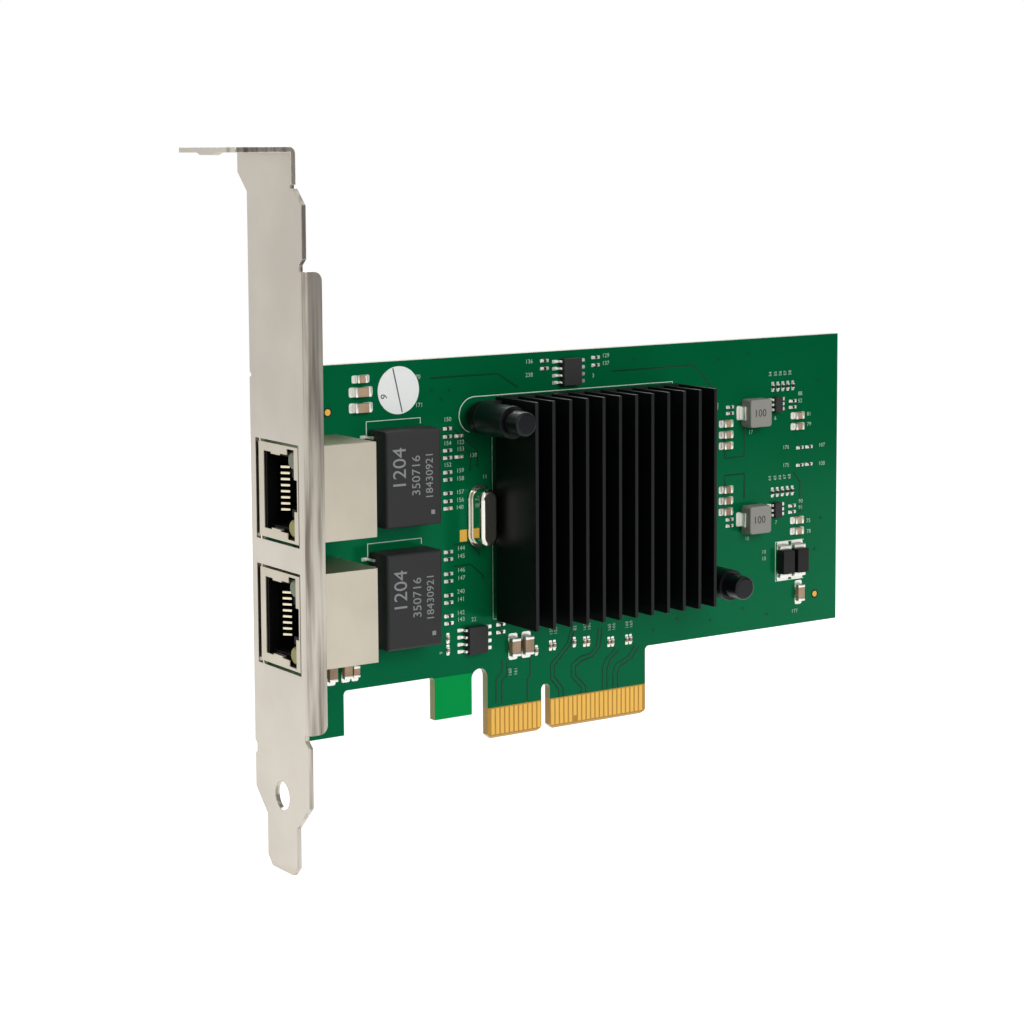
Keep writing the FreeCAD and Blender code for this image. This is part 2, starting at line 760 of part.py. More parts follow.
def make_bracket_screws():
    """Two pan-head screws through the board into the tapped ears behind it."""
    pieces = []
    for name, (low, high) in EARS.items():
        height = f"({low} + {high}) / 2"
        reach = "board_thickness + sheet_thickness + screw_tip"
        shank = cylinder(f"{name}_shank", "screw_diameter", f"{reach} + joint_overlap",
                         (EAR_SCREW_X, f"-{FACE} - joint_overlap", height), "back")
        head = cone(f"{name}_head", "screw_head", "screw_head_top", "screw_head_height",
                    (EAR_SCREW_X, f"-{FACE}", height), "front")
        slot = []
        for turn, (wide, tall) in {"wide": ("screw_recess", "screw_recess / 4"),
                                   "tall": ("screw_recess / 4", "screw_recess")}.items():
            slot.append(box(
                f"{name}_{turn}_slot", (wide, "screw_recess_depth", tall),
                (f"{EAR_SCREW_X} - {wide} / 2", f"-{FACE} - screw_head_height", f"{height} - {tall} / 2")))
        solid = fuse(f"{name}_screw", [shank, head])
        pieces.append(cut(f"{name}_screw_cut", solid, fuse(f"{name}_recess", slot)))
    group("bracket_screws", pieces)


# ---------------------------------------------------------------- ports

def make_jacks():
    """Two shielded modular jacks: shield, housing with the plug cavity, legs and pegs."""
    shields = []
    housings = []
    for name, height in PORTS.items():
        half = "(jack_width / 2)"
        outer = box(f"{name}_shell", ("jack_length", "jack_height", "jack_width"),
                    (JACK_FRONT, f"-{FACE} - jack_height", f"{height} - {half}"))
        tools = [
            box(f"{name}_inside",
                ("jack_length - 2 * shield_sheet", "jack_height", "jack_width - 2 * shield_sheet"),
                (f"{JACK_FRONT} + shield_sheet", f"-{FACE} - jack_height + shield_sheet",
                 f"{height} - {half} + shield_sheet")),
            box(f"{name}_mouth",
                ("3 * shield_sheet", "opening_far - opening_near", OPENING_WIDTH),
                (f"{JACK_FRONT} - shield_sheet", "-opening_far", f"{height} - {OPENING_WIDTH} / 2")),
            box(f"{name}_latch_mouth",
                ("3 * shield_sheet", "latch_far - opening_near", "latch_width"),
                (f"{JACK_FRONT} - shield_sheet", "-latch_far", f"{height} - latch_width / 2")),
            box(f"{name}_lamp_mouth",
                ("3 * shield_sheet", "lamp_window_depth", f"{LAMP_SPREAD} + lamp_window"),
                (f"{JACK_FRONT} - shield_sheet", "-opening_far",
                 f"{height} - ({LAMP_SPREAD} + lamp_window) / 2")),
        ]
        shell = cut(f"{name}_shell_cut", outer, fuse(f"{name}_shell_tools", tools))
        extras = [shell]
        for side, sign in (("upper", "+"), ("lower", "-")):
            low = f"{height} {sign} ({OPENING_WIDTH} / 2) - shield_sheet"
            extras.append(box(
                f"{name}_{side}_spring_tongue", ("3 * shield_sheet", "finger_tongue", "2 * shield_sheet"),
                (JACK_FRONT, "-opening_near - 2 * finger_tongue + joint_overlap", low)))
            wall = (f"{height} + {half} - shield_sheet" if sign == "+" else f"{height} - {half}")
            extras.append(box(
                f"{name}_{side}_leg",
                ("leg_width", "board_thickness + leg_drop_length + joint_overlap", "shield_sheet"),
                (f"{JACK_FRONT} + leg_setback - leg_width / 2", f"-{FACE} - joint_overlap", wall)))
        shields.append(fuse(f"{name}_shield", extras))

        block = box(f"{name}_block",
                    ("jack_length - 2 * shield_sheet - 2 * jack_fit",
                     "jack_height - shield_sheet - jack_fit",
                     "jack_width - 2 * shield_sheet - 2 * jack_fit"),
                    (f"{JACK_FRONT} + shield_sheet + jack_fit",
                     f"-{FACE} - jack_height + shield_sheet + jack_fit",
                     f"{height} - {half} + shield_sheet + jack_fit"))
        pegs = []
        for side in ("+", "-"):
            pegs.append(cylinder(
                f"{name}_peg", "peg_diameter", "board_thickness + leg_drop_length / 2 + joint_overlap",
                (f"{JACK_FRONT} + peg_setback", f"-{FACE} - joint_overlap",
                 f"{height} {side} {PEG_SPREAD} / 2"),
                "back"))
        front = f"{JACK_FRONT} - cut_overrun"
        hollows = [
            box(f"{name}_plug_cavity", ("plug_depth + cut_overrun", "plug_far - plug_near", PLUG_WIDTH),
                (front, "-plug_far", f"{height} - {PLUG_WIDTH} / 2")),
            box(f"{name}_latch_groove", ("plug_depth - latch_step", "latch_far - plug_far", "latch_width"),
                (front, "-latch_far + latch_lip", f"{height} - latch_width / 2")),
            box(f"{name}_spring_channel",
                ("plug_depth - spring_front + 2 * spring_room", "channel_depth + cut_overrun",
                 f"{WAYS} * spring_pitch + spring_width"),
                (f"{JACK_FRONT} + spring_front - spring_room", "-plug_near - cut_overrun",
                 f"{height} - ({WAYS} * spring_pitch + spring_width) / 2")),
            box(f"{name}_front_clearance",
                ("4 * shield_sheet + jack_fit", "opening_far - plug_near - latch_lip",
                 f"{OPENING_WIDTH} + 2 * shield_sheet + 4 * jack_fit"),
                (JACK_FRONT, "-opening_far + latch_lip",
                 f"{height} - {OPENING_WIDTH} / 2 - shield_sheet - 2 * jack_fit")),
        ]
        for side in ("+", "-"):
            hollows.append(box(
                f"{name}_lamp_pocket",
                ("cut_overrun + lamp_recess + lamp_length + jack_fit", LAMP_ROOM, LAMP_ROOM),
                (front, f"-lamp_far - {LAMP_ROOM} / 2",
                 f"{height} {side} {LAMP_SPREAD} / 2 - {LAMP_ROOM} / 2")))
        solid = fuse(f"{name}_solid", [block] + pegs)
        housings.append(cut(f"{name}_housing", solid, fuse(f"{name}_hollows", hollows)))
    group("jack_shields", shields)
    group("jack_housings", housings)


def make_jack_lamps():
    """Round indicator lamps beside each latch: one link lamp and one activity lamp a port."""
    for label, sign in (("jack_link_lamps", "+"), ("jack_activity_lamps", "-")):
        pieces = []
        for name, height in PORTS.items():
            middle = f"{height} {sign} {LAMP_SPREAD} / 2"
            start = f"{JACK_FRONT} + lamp_recess"
            pieces.append(cylinder(f"{name}_{label}", "lamp_diameter", "lamp_length",
                                   (start, "-lamp_far", middle), "rear"))
        group(label, pieces)


def bent_strip(points, thickness, width, along):
    """A flat strip bent through points in the XY plane, extruded by width along Z."""
    ahead = []
    behind = []
    for index, point in enumerate(points):
        before = points[max(index - 1, 0)]
        after = points[min(index + 1, len(points) - 1)]
        arriving = (point - before) if index else (after - point)
        leaving = (after - point) if index < len(points) - 1 else (point - before)
        arriving = FreeCAD.Vector(arriving).normalize()
        leaving = FreeCAD.Vector(leaving).normalize()
        mean = (arriving + leaving).normalize()
        normal = FreeCAD.Vector(-mean.y, mean.x, 0)
        reach = thickness / 2 / max(mean.dot(arriving), 0.3)
        ahead.append(point + normal * reach)
        behind.append(point - normal * reach)
    loop = ahead + behind[::-1]
    face = Part.Face(Part.makePolygon(loop + loop[:1]))
    return face.extrude(FreeCAD.Vector(0, 0, width)).translated(FreeCAD.Vector(0, 0, along))


def feature(label, solids):
    """Like bent pieces of one sub-part, made from their own outlines."""
    made = doc.addObject("Part::Feature", label)
    made.Shape = Part.makeCompound(solids)
    return subpart(made, label)


def make_jack_contacts():
    """Eight spring wires a port: along the floor, round a tight bend and up into the cavity."""
    front = number(f"{JACK_FRONT} + spring_front")
    floor = -number("plug_near") + number("channel_depth") - number("spring_thickness")
    rear = number(f"{JACK_FRONT} + plug_depth")
    tip_x = front + number("spring_run")
    tip_y = -number("plug_near") - number("spring_rise")
    thickness = number("spring_thickness")
    path = [
        FreeCAD.Vector(rear, floor, 0),
        FreeCAD.Vector(front + 2 * thickness, floor, 0),
        FreeCAD.Vector(front, -number("plug_near") - thickness, 0),
        FreeCAD.Vector(tip_x, tip_y, 0),
    ]
    pitch = number("spring_pitch")
    width = number("spring_width")
    solids = []
    for height in PORTS.values():
        middle = number(height)
        for index in range(WAYS):
            along = middle + (index - (WAYS - 1) / 2) * pitch - width / 2
            solids.append(bent_strip(path, thickness, width, along))
    feature("jack_contacts", solids)


def make_jack_pin_tails():
    """Square pin ends of the jacks behind the board: two staggered rows of four and the lamps'."""
    pieces = []
    for height in PORTS.values():
        rows = [(f"{JACK_FRONT} + pin_setback + {index % 2} * 2 * pin_pitch",
                 f"{height} + {index - (WAYS - 1) / 2} * pin_pitch") for index in range(WAYS)]
        for side in ("+", "-"):
            for step in ("+", "-"):
                rows.append((f"{JACK_FRONT} + lamp_pin_setback",
                             f"{height} {side} lamp_pin_share * {LAMP_SPREAD} {step} pin_pitch"))
        for across, up in rows:
            pieces.append(box("pin_tail", ("pin_tail", "pin_tail_length", "pin_tail"),
                              (f"{across} - pin_tail / 2", FACE, f"{up} - pin_tail / 2")))
    group("jack_pin_tails", pieces)


# ---------------------------------------------------------------- packages with leads

def gull_lead(x_body, x_toe, y_body, width, middle):
    """A gull-wing lead from a package's side down to the board's face, in the XY plane."""
    thickness = number("lead_thickness")
    foot = -number(FACE) - thickness / 2
    reach = x_toe - x_body
    path = [
        FreeCAD.Vector(x_body, y_body, 0),
        FreeCAD.Vector(x_body + 0.3 * reach, y_body, 0),
        FreeCAD.Vector(x_body + 0.45 * reach, foot, 0),
        FreeCAD.Vector(x_toe, foot, 0),
    ]
    return bent_strip(path, thickness, width, middle - width / 2)


def lead_rows(centre_x, centre_z, half_width, y_body, reach, pitch, count, width):
    """Leads along both sides of a package."""
    solids = []
    for side in (-1, 1):
        start = centre_x + side * half_width
        for index in range(count):
            middle = centre_z + (index - (count - 1) / 2) * pitch
            solids.append(gull_lead(start, start + side * reach, y_body, width, middle))
    return solids


def make_transformers():
    """Two moulded line transformers and their two rows of leads."""
    pieces = []
    solids = []
    for name, height in PORTS.items():
        block = box(f"{name}_transformer",
                    ("transformer_length", "transformer_top - transformer_seat", "transformer_width"),
                    (f"{TRANSFORMER_X} - transformer_length / 2", f"-{FACE} - transformer_top",
                     f"{height} - transformer_width / 2"))
        doc.recompute()
        edge = doc.addObject("Part::Chamfer", f"{name}_transformer_edges")
        edge.Base = block
        top = block.Shape.BoundBox.YMin
        size = number("transformer_edge")
        edge.Edges = [(index, size, size) for index, found in enumerate(block.Shape.Edges, start=1)
                      if all(near(vertex.Point.y, top) for vertex in found.Vertexes)]
        pieces.append(edge)
        solids += lead_rows(
            number(TRANSFORMER_X), number(height), number("transformer_length / 2"),
            -number(f"{FACE} + transformer_top / 3"), number("lead_reach"),
            number("transformer_lead_pitch"), TRANSFORMER_LEADS, number("lead_width"))
    group("line_transformers", pieces)
    feature("transformer_leads", solids)


def make_small_packages():
    """Two eight-lead packages: the memory above the cooler and the driver below it."""
    pieces = []
    solids = []
    for across, up in ((MEMORY_X, MEMORY_Z), (DRIVER_X, DRIVER_Z)):
        pieces.append(box("package", ("package_width", "package_height", "package_length"),
                          (f"{across} - package_width / 2",
                           f"-{FACE} - package_seat - package_height", f"{up} - package_length / 2")))
        solids += lead_rows(
            number(across), number(up), number("package_width / 2"),
            -number(f"{FACE} + package_seat + package_height / 2"), number("lead_reach"),
            number("package_lead_pitch"), PACKAGE_LEADS, number("lead_width"))
    group("small_outline_chips", pieces)
    feature("small_outline_leads", solids)


# ---------------------------------------------------------------- controller and cooling

def make_controller():
    half = "chip_side / 2"
    chip = box("controller_chip", ("chip_side", "chip_height", "chip_side"),
               (f"{COOLER_X} - {half}", f"-{FACE} - chip_height", f"{COOLER_Z} - {half}"))
    subpart(chip, "controller_chip")
    half = "thermal_pad_side / 2"
    sheet = box("thermal_pad", ("thermal_pad_side", "thermal_pad_height", "thermal_pad_side"),
                (f"{COOLER_X} - {half}", f"-{COOLER_SEAT}", f"{COOLER_Z} - {half}"))
    subpart(sheet, "thermal_pad")


def make_heatsink():
    """Extruded heatsink: base, two arms for the push pins and a row of straight fins."""
    host = body("heatsink")
    base = sketch(host, "cooler_base_plate", "XZ_Plane", COOLER_SEAT)
    half = "cooler_side / 2"
    rectangle(base, f"{COOLER_X} - {half}", f"{COOLER_X} + {half}",
              f"{COOLER_Z} - {half}", f"{COOLER_Z} + {half}")
    pad(host, base, "cooler_base")

    for name, (across, up) in PINS.items():
        inner = f"{COOLER_X} {'-' if name == 'front' else '+'} ({half} - joint_overlap)"
        arm = sketch(host, f"{name}_arm", "XZ_Plane", COOLER_SEAT)
        left, right = (across, inner) if name == "front" else (inner, across)
        rectangle(arm, left, right, f"{up} - arm_radius", f"{up} + arm_radius")
        pad(host, arm, "cooler_base")
        eye = sketch(host, f"{name}_eye", "XZ_Plane", COOLER_SEAT)
        circle(eye, across, up, "2 * arm_radius")
        pad(host, eye, "cooler_base")

    holes = sketch(host, "arm_holes", "XZ_Plane", f"{COOLER_SEAT} + cooler_base")
    for across, up in PINS.values():
        circle(holes, across, up, "pin_hole")
    pocket(host, holes, "cooler_base")

    fin = sketch(host, "fin", "XZ_Plane", f"{COOLER_SEAT} + cooler_base")
    rectangle(fin, f"{COOLER_X} - {half}", f"{COOLER_X} - {half} + fin_thickness",
              f"{COOLER_Z} - {half}", f"{COOLER_Z} + {half}")
    first = pad(host, fin, "fin_height")
    fins = host.newObject("PartDesign::LinearPattern", "fins")
    fins.Originals = [first]
    axis = next(found for found in host.Origin.OriginFeatures if found.Role == "X_Axis")
    fins.Direction = (axis, [""])
    fins.setExpression("Length", linked("cooler_side - fin_thickness"))
    fins.setExpression("Occurrences", linked("fin_count"))
    host.Tip = fins
    doc.recompute()


def make_push_pins():
    """Two push pins: a sleeve with a barbed end behind the board, and the plunger inside it."""
    sleeves = []
    plungers = []
    seat = f"({COOLER_SEAT} + cooler_base)"
    for name, (across, up) in PINS.items():
        barrel = cylinder(f"{name}_barrel", "sleeve_diameter", f"{FACE} + sleeve_top - {seat}",
                          (across, f"-{seat}", up), "front")
        shank = cylinder(f"{name}_shank", "sleeve_shank", f"{seat} + {FACE} + barb_gap + 2 * joint_overlap",
                         (across, f"-{seat} - joint_overlap", up), "back")
        barb = cone(f"{name}_barb", "barb_diameter", "barb_tip", "barb_length",
                    (across, f"{FACE} + barb_gap", up), "back")
        end = f"{FACE} + barb_gap + barb_length + cut_overrun"
        bore = cylinder(f"{name}_bore", "sleeve_bore", f"{end} + {FACE} + sleeve_top + cut_overrun",
                        (across, end, up), "front")
        sleeves.append(cut(f"{name}_sleeve", fuse(f"{name}_sleeve_solid", [barrel, shank, barb]), bore))
        head = cylinder(f"{name}_plunger_head", "plunger_head", "plunger_top - sleeve_top",
                        (across, f"-{FACE} - sleeve_top", up), "front")
        rod = cylinder(f"{name}_plunger_rod", "plunger_shank",
                       f"2 * {FACE} + sleeve_top + barb_length / 2 + joint_overlap",
                       (across, f"{FACE} + barb_length / 2", up), "front")
        plungers.append(fuse(f"{name}_plunger", [head, rod]))
    group("push_pin_sleeves", sleeves)
    group("push_pin_plungers", plungers)


# ---------------------------------------------------------------- crystal and power parts

def stadium(name, width, length, depth, base):
    """A long oval block that stands on a plane facing the front."""
    across, face, up = base
    middle = box(f"{name}_middle", (width, depth, f"{length} - {width}"),
                 (f"{across} - {width} / 2", f"-{face} - {depth}", f"{up} - ({length} - {width}) / 2"))
    ends = []
    for side in ("+", "-"):
        ends.append(cylinder(f"{name}_end", width, depth,
                             (across, f"-{face}", f"{up} {side} ({length} - {width}) / 2"), "front"))
    return fuse(name, [middle] + ends)


def make_crystal():
    base = (CRYSTAL_X, FACE, CRYSTAL_Z)
    rim = stadium("crystal_base", "(crystal_width + 2 * crystal_rim)",
                  "(crystal_length + 2 * crystal_rim)", "crystal_base_height", base)
    subpart(rim, "crystal_base")
    seat = (CRYSTAL_X, f"({FACE} + crystal_base_height)", CRYSTAL_Z)
    can = stadium("crystal_can_blank", "crystal_width", "crystal_length",
                  "(crystal_top - crystal_base_height)", seat)
    doc.recompute()
    top = -number(f"{FACE} + crystal_top")
    size = number("crystal_edge")
    edged = doc.addObject("Part::Chamfer", "crystal_can")
    edged.Base = can
    edged.Edges = [(index, size, size) for index, found in enumerate(can.Shape.Edges, start=1)
                   if all(near(vertex.Point.y, top) for vertex in found.Vertexes)]
    subpart(edged, "crystal_can")


def make_power_stage():
    """Moulded power coils with side terminals, and a six-lead regulator beside each."""
    coils = []
    terminals = []
    regulators = []
    leads = []
    for height in COILS.values():
        block = box("coil_block", ("coil_length", "coil_height", "coil_width"),
                    (f"{COIL_X} - coil_length / 2", f"-{FACE} - coil_height", f"{height} - coil_width / 2"))
        doc.recompute()
        edge = doc.addObject("Part::Chamfer", "coil")
        edge.Base = block
        size = number("coil_edge")
        edge.Edges = [(index, size, size) for index, found in enumerate(block.Shape.Edges, start=1)
                      if near(found.Vertexes[0].Point.x, found.Vertexes[1].Point.x)
                      and near(found.Vertexes[0].Point.z, found.Vertexes[1].Point.z)]
        coils.append(edge)
        for start in ("-coil_length / 2 - coil_terminal", "coil_length / 2"):
            terminals.append(box(
                "coil_terminal_strip", ("coil_terminal", "coil_terminal_height", "coil_terminal_width"),
                (f"{COIL_X} + {start}", f"-{FACE} - coil_terminal_height",
                 f"{height} - coil_terminal_width / 2")))
        across = f"({COIL_X} + regulator_shift)"
        up = f"({height} + regulator_rise)"
        regulators.append(box(
            "regulator", ("regulator_width", "regulator_height", "regulator_length"),
            (f"{across} - regulator_width / 2", f"-{FACE} - regulator_height - package_seat / 2",
             f"{up} - regulator_length / 2")))
        leads += lead_rows(
            number(across), number(up), number("regulator_width / 2"),
            -number(f"{FACE} + regulator_height / 2"), number("regulator_reach"),
            number("regulator_pitch"), REGULATOR_LEADS, number("lead_width"))
    group("power_coils", coils)
    group("coil_terminals", terminals)
    group("regulators", regulators)
    feature("regulator_leads", leads)


def make_diodes():
    """Two black protection diodes side by side, each between two plated terminals."""
    bodies = []
    terminals = []
    for index in range(2):
        left = f"{DIODE_X} + {index} * diode_pitch - diode_width / 2"
        bodies.append(box("diode", ("diode_width", "diode_height", "diode_length"),
                          (left, f"-{FACE} - diode_height", f"{DIODE_Z} - diode_length / 2")))
        for start in ("diode_length / 2", "-diode_length / 2 - diode_terminal"):
            terminals.append(box("diode_end", ("diode_width", "diode_height / 2", "diode_terminal"),
                                 (left, f"-{FACE} - diode_height / 2", f"{DIODE_Z} + {start}")))
    group("diodes", bodies)
    group("diode_terminals", terminals)


# ---------------------------------------------------------------- chip parts

def chip(size, across, up, upright=False):
    """Body and two plated ends of a chip part centred on a place of the board's face."""
    length, width, height, end = (f"{size}_{part}" for part in ("length", "width", "height", "end"))
    inner = f"({length} - 2 * {end})"
    plated = f"({height} + end_plating)"
    along, over = (width, inner) if upright else (inner, width)
    middle = box("chip_body", (along, height, over),
                 (f"{across} - {along} / 2", f"-{FACE} - {height}", f"{up} - {over} / 2"))
    ends = []
    for step in (f"{inner} / 2", f"-{length} / 2"):
        if upright:
            ends.append(box("chip_end", (width, plated, end),
                            (f"{across} - {width} / 2", f"-{FACE} - {plated}", f"{up} + {step}")))
        else:
            ends.append(box("chip_end", (end, plated, width),
                            (f"{across} + {step}", f"-{FACE} - {plated}", f"{up} - {width} / 2")))
    return middle, ends


class ChipRows:
    """Bodies and plated ends of the chip parts, gathered as they are placed.

    Every place is a base expression and a number of steps of the layout grid from it.
    """

    def __init__(self):
        self.ends = []

    def add(self, bodies, size, across, up, upright=False):
        places = [f"{base} + {steps} * layout_grid" for base, steps in (across, up)]
        middle, pair = chip(size, *places, upright)
        bodies.append(middle)
        self.ends.extend(pair)


def make_chip_parts():
    """Chip capacitors and resistors, placed round the parts that they serve."""
    capacitors = []
    resistors = []
    rows = ChipRows()

    # column beside the transformers
    column = (TRANSFORMER_X, 10.5)
    for port, steps in (("upper", (7.3, 5.9, 3.45, 2.15, -0.4, -1.7, -4.1, -5.5)),
                        ("lower", (6.6, 5.3, 2.7, 1.4, -1.1, -2.4, -4.8, -6.1))):
        for step in steps:
            rows.add(resistors, "tiny", column, (PORTS[port], step))
    for across, step in ((10.5, -6.8), (12.85, 5.85), (12.85, 2.15)):
        rows.add(capacitors, "tiny", (TRANSFORMER_X, across), (PORTS["upper"], step))

    # round the memory and the driver
    for across in (-5.3, 6.0):
        for step in (2.2, 0.8):
            rows.add(resistors, "tiny", (MEMORY_X, across), (MEMORY_Z, step))
    for step in (2.0, 0.6):
        rows.add(resistors, "tiny", (DRIVER_X, 5.6), (DRIVER_Z, step))
    for across in (8.2, 11.05):
        rows.add(capacitors, "large", (DRIVER_X, across), ("floor_height", 3.55), True)
    for across, step in ((16.4, 2.7), (24.0, 2.5), (29.5, 1.8), (33.6, 1.75)):
        for pair_step in (0, 0.85):
            rows.add(capacitors, "tiny", (DRIVER_X, across + pair_step), ("floor_height", step), True)
    for across, step in ((-5.6, 6.65), (-5.6, 4.55), (13.3, 2.2), (21.7, 2.7)):
        rows.add(capacitors, "tiny", (DRIVER_X, across), ("floor_height", step), True)

    # power stages
    for name, flip, low in (("upper", 1, (1.3, 0.1)), ("lower", -1, (0.2, -1.0))):
        height = COILS[name]
        for index in range(5):
            rows.add(resistors, "tiny", (COIL_X, 5.2 + 1.25 * index), (height, 4.5), True)
        for step in (1.5, 0.3):
            rows.add(resistors, "tiny", (COIL_X, 10.2), (height, step))
        for step in (-1.4, -3.5):
            rows.add(capacitors, "small", (COIL_X, 11.5), (height, step))
        for step in (-1.8, -3.9, -6.0):
            rows.add(capacitors, "small", (COIL_X, -6.2), (height, flip * step))
        for step in low:
            rows.add(resistors, "tiny", (COIL_X, -5.3), (height, step))
    tall = "(floor_height + tall_capacitor_ratio * (board_height - floor_height))"
    rows.add(capacitors, "medium", (DIODE_X, 4.0), (tall, 0), True)

    # rows that serve lamps at the rear edge, and the parts above the upper port
    for ratio in ("lamp_row_upper_ratio", "lamp_row_lower_ratio"):
        for across in (12.1, 14.4):
            rows.add(resistors, "tiny", (COIL_X, across),
                     (f"(floor_height + {ratio} * (board_height - floor_height))", 0))
    for size, step in (("small", -2.7), ("medium", -4.9), ("medium", -7.6)):
        rows.add(capacitors, size, (TRANSFORMER_X, -6.95), ("board_height", step))
    for size, across, step in (("medium", -13.45, 3.6), ("medium", -10.55, 3.8), ("small", -8.75, 3.2)):
        rows.add(capacitors, size, (TRANSFORMER_X, across), ("floor_height", step), True)

    group("chip_capacitors", capacitors)
    group("chip_resistors", resistors)
    group("chip_terminals", rows.ends)


# ---------------------------------------------------------------- label and bare pads

def make_label_and_pads():
    sticker = cylinder("inspection_label", "label_diameter", "label_thickness",
                       (LABEL_X, f"-{FACE}", LABEL_Z), "front")
    subpart(sticker, "inspection_label")
    pads = []
    for across, up in ((f"-{FRONT} + fiducial_front", "board_height - fiducial_drop"),
                       ("board_rear - fiducial_rear", "floor_height + fiducial_rise")):
        pads.append(cylinder("fiducial", "fiducial_diameter", "pad_thickness",
                             (across, f"-{FACE}", up), "front"))
    pads.append(box("case_pad", ("case_pad_width", "pad_thickness", "case_pad_length"),
                    (f"{CRYSTAL_X} - case_pad_shift", f"-{FACE} - pad_thickness",
                     f"{CRYSTAL_Z} - case_pad_drop")))
    group("gold_pads", pads)


# ---------------------------------------------------------------- build, check and write

def check_objects():
    """Stop if any object failed, or a sub-part is empty or not valid."""
    for found in doc.Objects:
        if {"Invalid", "Error"} & set(found.State):
            raise RuntimeError(f"{found.Label} failed: {found.State}")
    for made in SUBPARTS:
        if made.Shape.isNull() or not made.Shape.isValid() or not made.Shape.Solids:
            raise RuntimeError(f"{made.Label} has no valid shape")


def main():
    fill_sheet()
    make_board()
    make_edge_contacts()
    make_bracket()
    make_bracket_screws()
    make_jacks()
    make_jack_lamps()
    make_jack_contacts()
    make_jack_pin_tails()
    make_transformers()
    make_small_packages()
    make_controller()
    make_heatsink()
    make_push_pins()
    make_crystal()
    make_power_stage()
    make_diodes()
    make_chip_parts()
    make_label_and_pads()
    doc.recompute()
    check_objects()
    os.makedirs("parts", exist_ok=True)
    for made in SUBPARTS:
        made.Shape.exportStep(f"parts/{made.Label}.step")
        print(f"{made.Label}: {len(made.Shape.Solids)} solids, {made.Shape.Volume:.1f} mm3")


main()
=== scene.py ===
"""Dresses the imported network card: finishes, rounded edges, solder, print, and the studio round it."""

import json
import math

import bpy
from mathutils import Matrix, Vector


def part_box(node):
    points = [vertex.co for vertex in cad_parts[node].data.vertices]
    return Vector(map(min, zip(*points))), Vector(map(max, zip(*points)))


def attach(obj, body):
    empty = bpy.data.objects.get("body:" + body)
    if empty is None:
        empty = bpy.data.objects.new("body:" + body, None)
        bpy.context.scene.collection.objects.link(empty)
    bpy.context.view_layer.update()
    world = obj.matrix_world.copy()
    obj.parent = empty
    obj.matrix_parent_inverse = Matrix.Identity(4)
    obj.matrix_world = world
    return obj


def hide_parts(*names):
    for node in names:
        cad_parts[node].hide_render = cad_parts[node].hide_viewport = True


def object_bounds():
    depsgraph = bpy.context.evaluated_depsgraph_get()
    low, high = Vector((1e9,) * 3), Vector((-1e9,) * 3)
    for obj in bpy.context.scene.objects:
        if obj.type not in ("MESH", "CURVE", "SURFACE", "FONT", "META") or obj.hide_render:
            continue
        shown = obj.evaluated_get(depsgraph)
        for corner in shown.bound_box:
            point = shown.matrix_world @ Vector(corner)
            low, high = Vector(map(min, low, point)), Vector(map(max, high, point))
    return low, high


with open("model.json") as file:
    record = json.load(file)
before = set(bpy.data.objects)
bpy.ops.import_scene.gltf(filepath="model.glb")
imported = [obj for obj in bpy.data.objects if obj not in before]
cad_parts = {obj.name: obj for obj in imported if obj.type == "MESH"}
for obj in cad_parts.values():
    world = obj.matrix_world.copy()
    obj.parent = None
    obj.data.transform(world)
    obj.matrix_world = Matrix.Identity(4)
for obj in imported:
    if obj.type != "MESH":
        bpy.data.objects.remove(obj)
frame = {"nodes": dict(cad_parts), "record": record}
CAD_BOX = [list(corner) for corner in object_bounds()]
NODES = frame["nodes"]
SLOTS = {part["node"]: part["material_slot"] for part in frame["record"]["subparts"]}
MM = 0.001

BOARD_LOW, BOARD_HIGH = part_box("pcb")
FACE = BOARD_LOW.y
BACK = BOARD_HIGH.y

# middles of the two sockets over the slot's reference, in millimetres
MOUNTS = {mount["name"]: mount["pos_m"] for mount in frame["record"]["mounts"]}
PORTS = {name: MOUNTS[f"{name}_socket"][2] / MM for name in ("upper", "lower")}

# heights of thin layers over the board's face
TRACE_HEIGHT = 0.012 * MM
LAND_HEIGHT = 0.035 * MM
PRINT_HEIGHT = 0.02 * MM
RING_HEIGHT = 0.02 * MM

# widths of lines
TRACE_WIDTH = 0.42 * MM
PRINT_LINE = 0.2 * MM
PEN_LINE = 0.26 * MM

# where the keeper and the bare strip round the edge contacts lie on the board
KEEPER_SPAN = (-24.5 * MM, -14.5 * MM)
KEEPER_TOP = 12.5 * MM
FINGER_SPAN = (-12.7 * MM, 22.7 * MM)
FINGER_TOP = 5.6 * MM

# the board's colours
LACQUER = (5, 98, 56)
DEEP_LACQUER = (0, 76, 41)
PALE_LACQUER = (4, 98, 58)
KEEPER_LACQUER = (0, 138, 60)
BARE_LAMINATE = (182, 134, 58)
CUT_LAMINATE = (172, 160, 112)
SLOPED_LAMINATE = (214, 160, 84)

# how far a surface faces along the card's thickness, from 0 to 1
FACES_FORWARD = 0.5
FACES_PLAINLY_FORWARD = 0.96


# ---------------------------------------------------------------- finishes

def written(red, green, blue):
    """A colour given as it is seen on a screen, 0 to 255, as the shader's own numbers."""
    parts = []
    for part in (red, green, blue):
        share = part / 255
        parts.append(share / 12.92 if share <= 0.04045 else ((share + 0.055) / 1.055) ** 2.4)
    return (*parts, 1)


def shader_of(material):
    """The material's own shader."""
    return material.node_tree.nodes["Principled BSDF"]


def finish(name, colour, roughness, metallic=0.0, **sockets):
    """A material of one Principled shader, with more of its sockets by name."""
    made = bpy.data.materials.new(name)
    made.use_nodes = True
    shader = shader_of(made)
    shader.inputs["Base Color"].default_value = written(*colour)
    shader.inputs["Roughness"].default_value = roughness
    shader.inputs["Metallic"].default_value = metallic
    for socket, value in sockets.items():
        shader.inputs[socket.replace("_", " ")].default_value = value
    return made


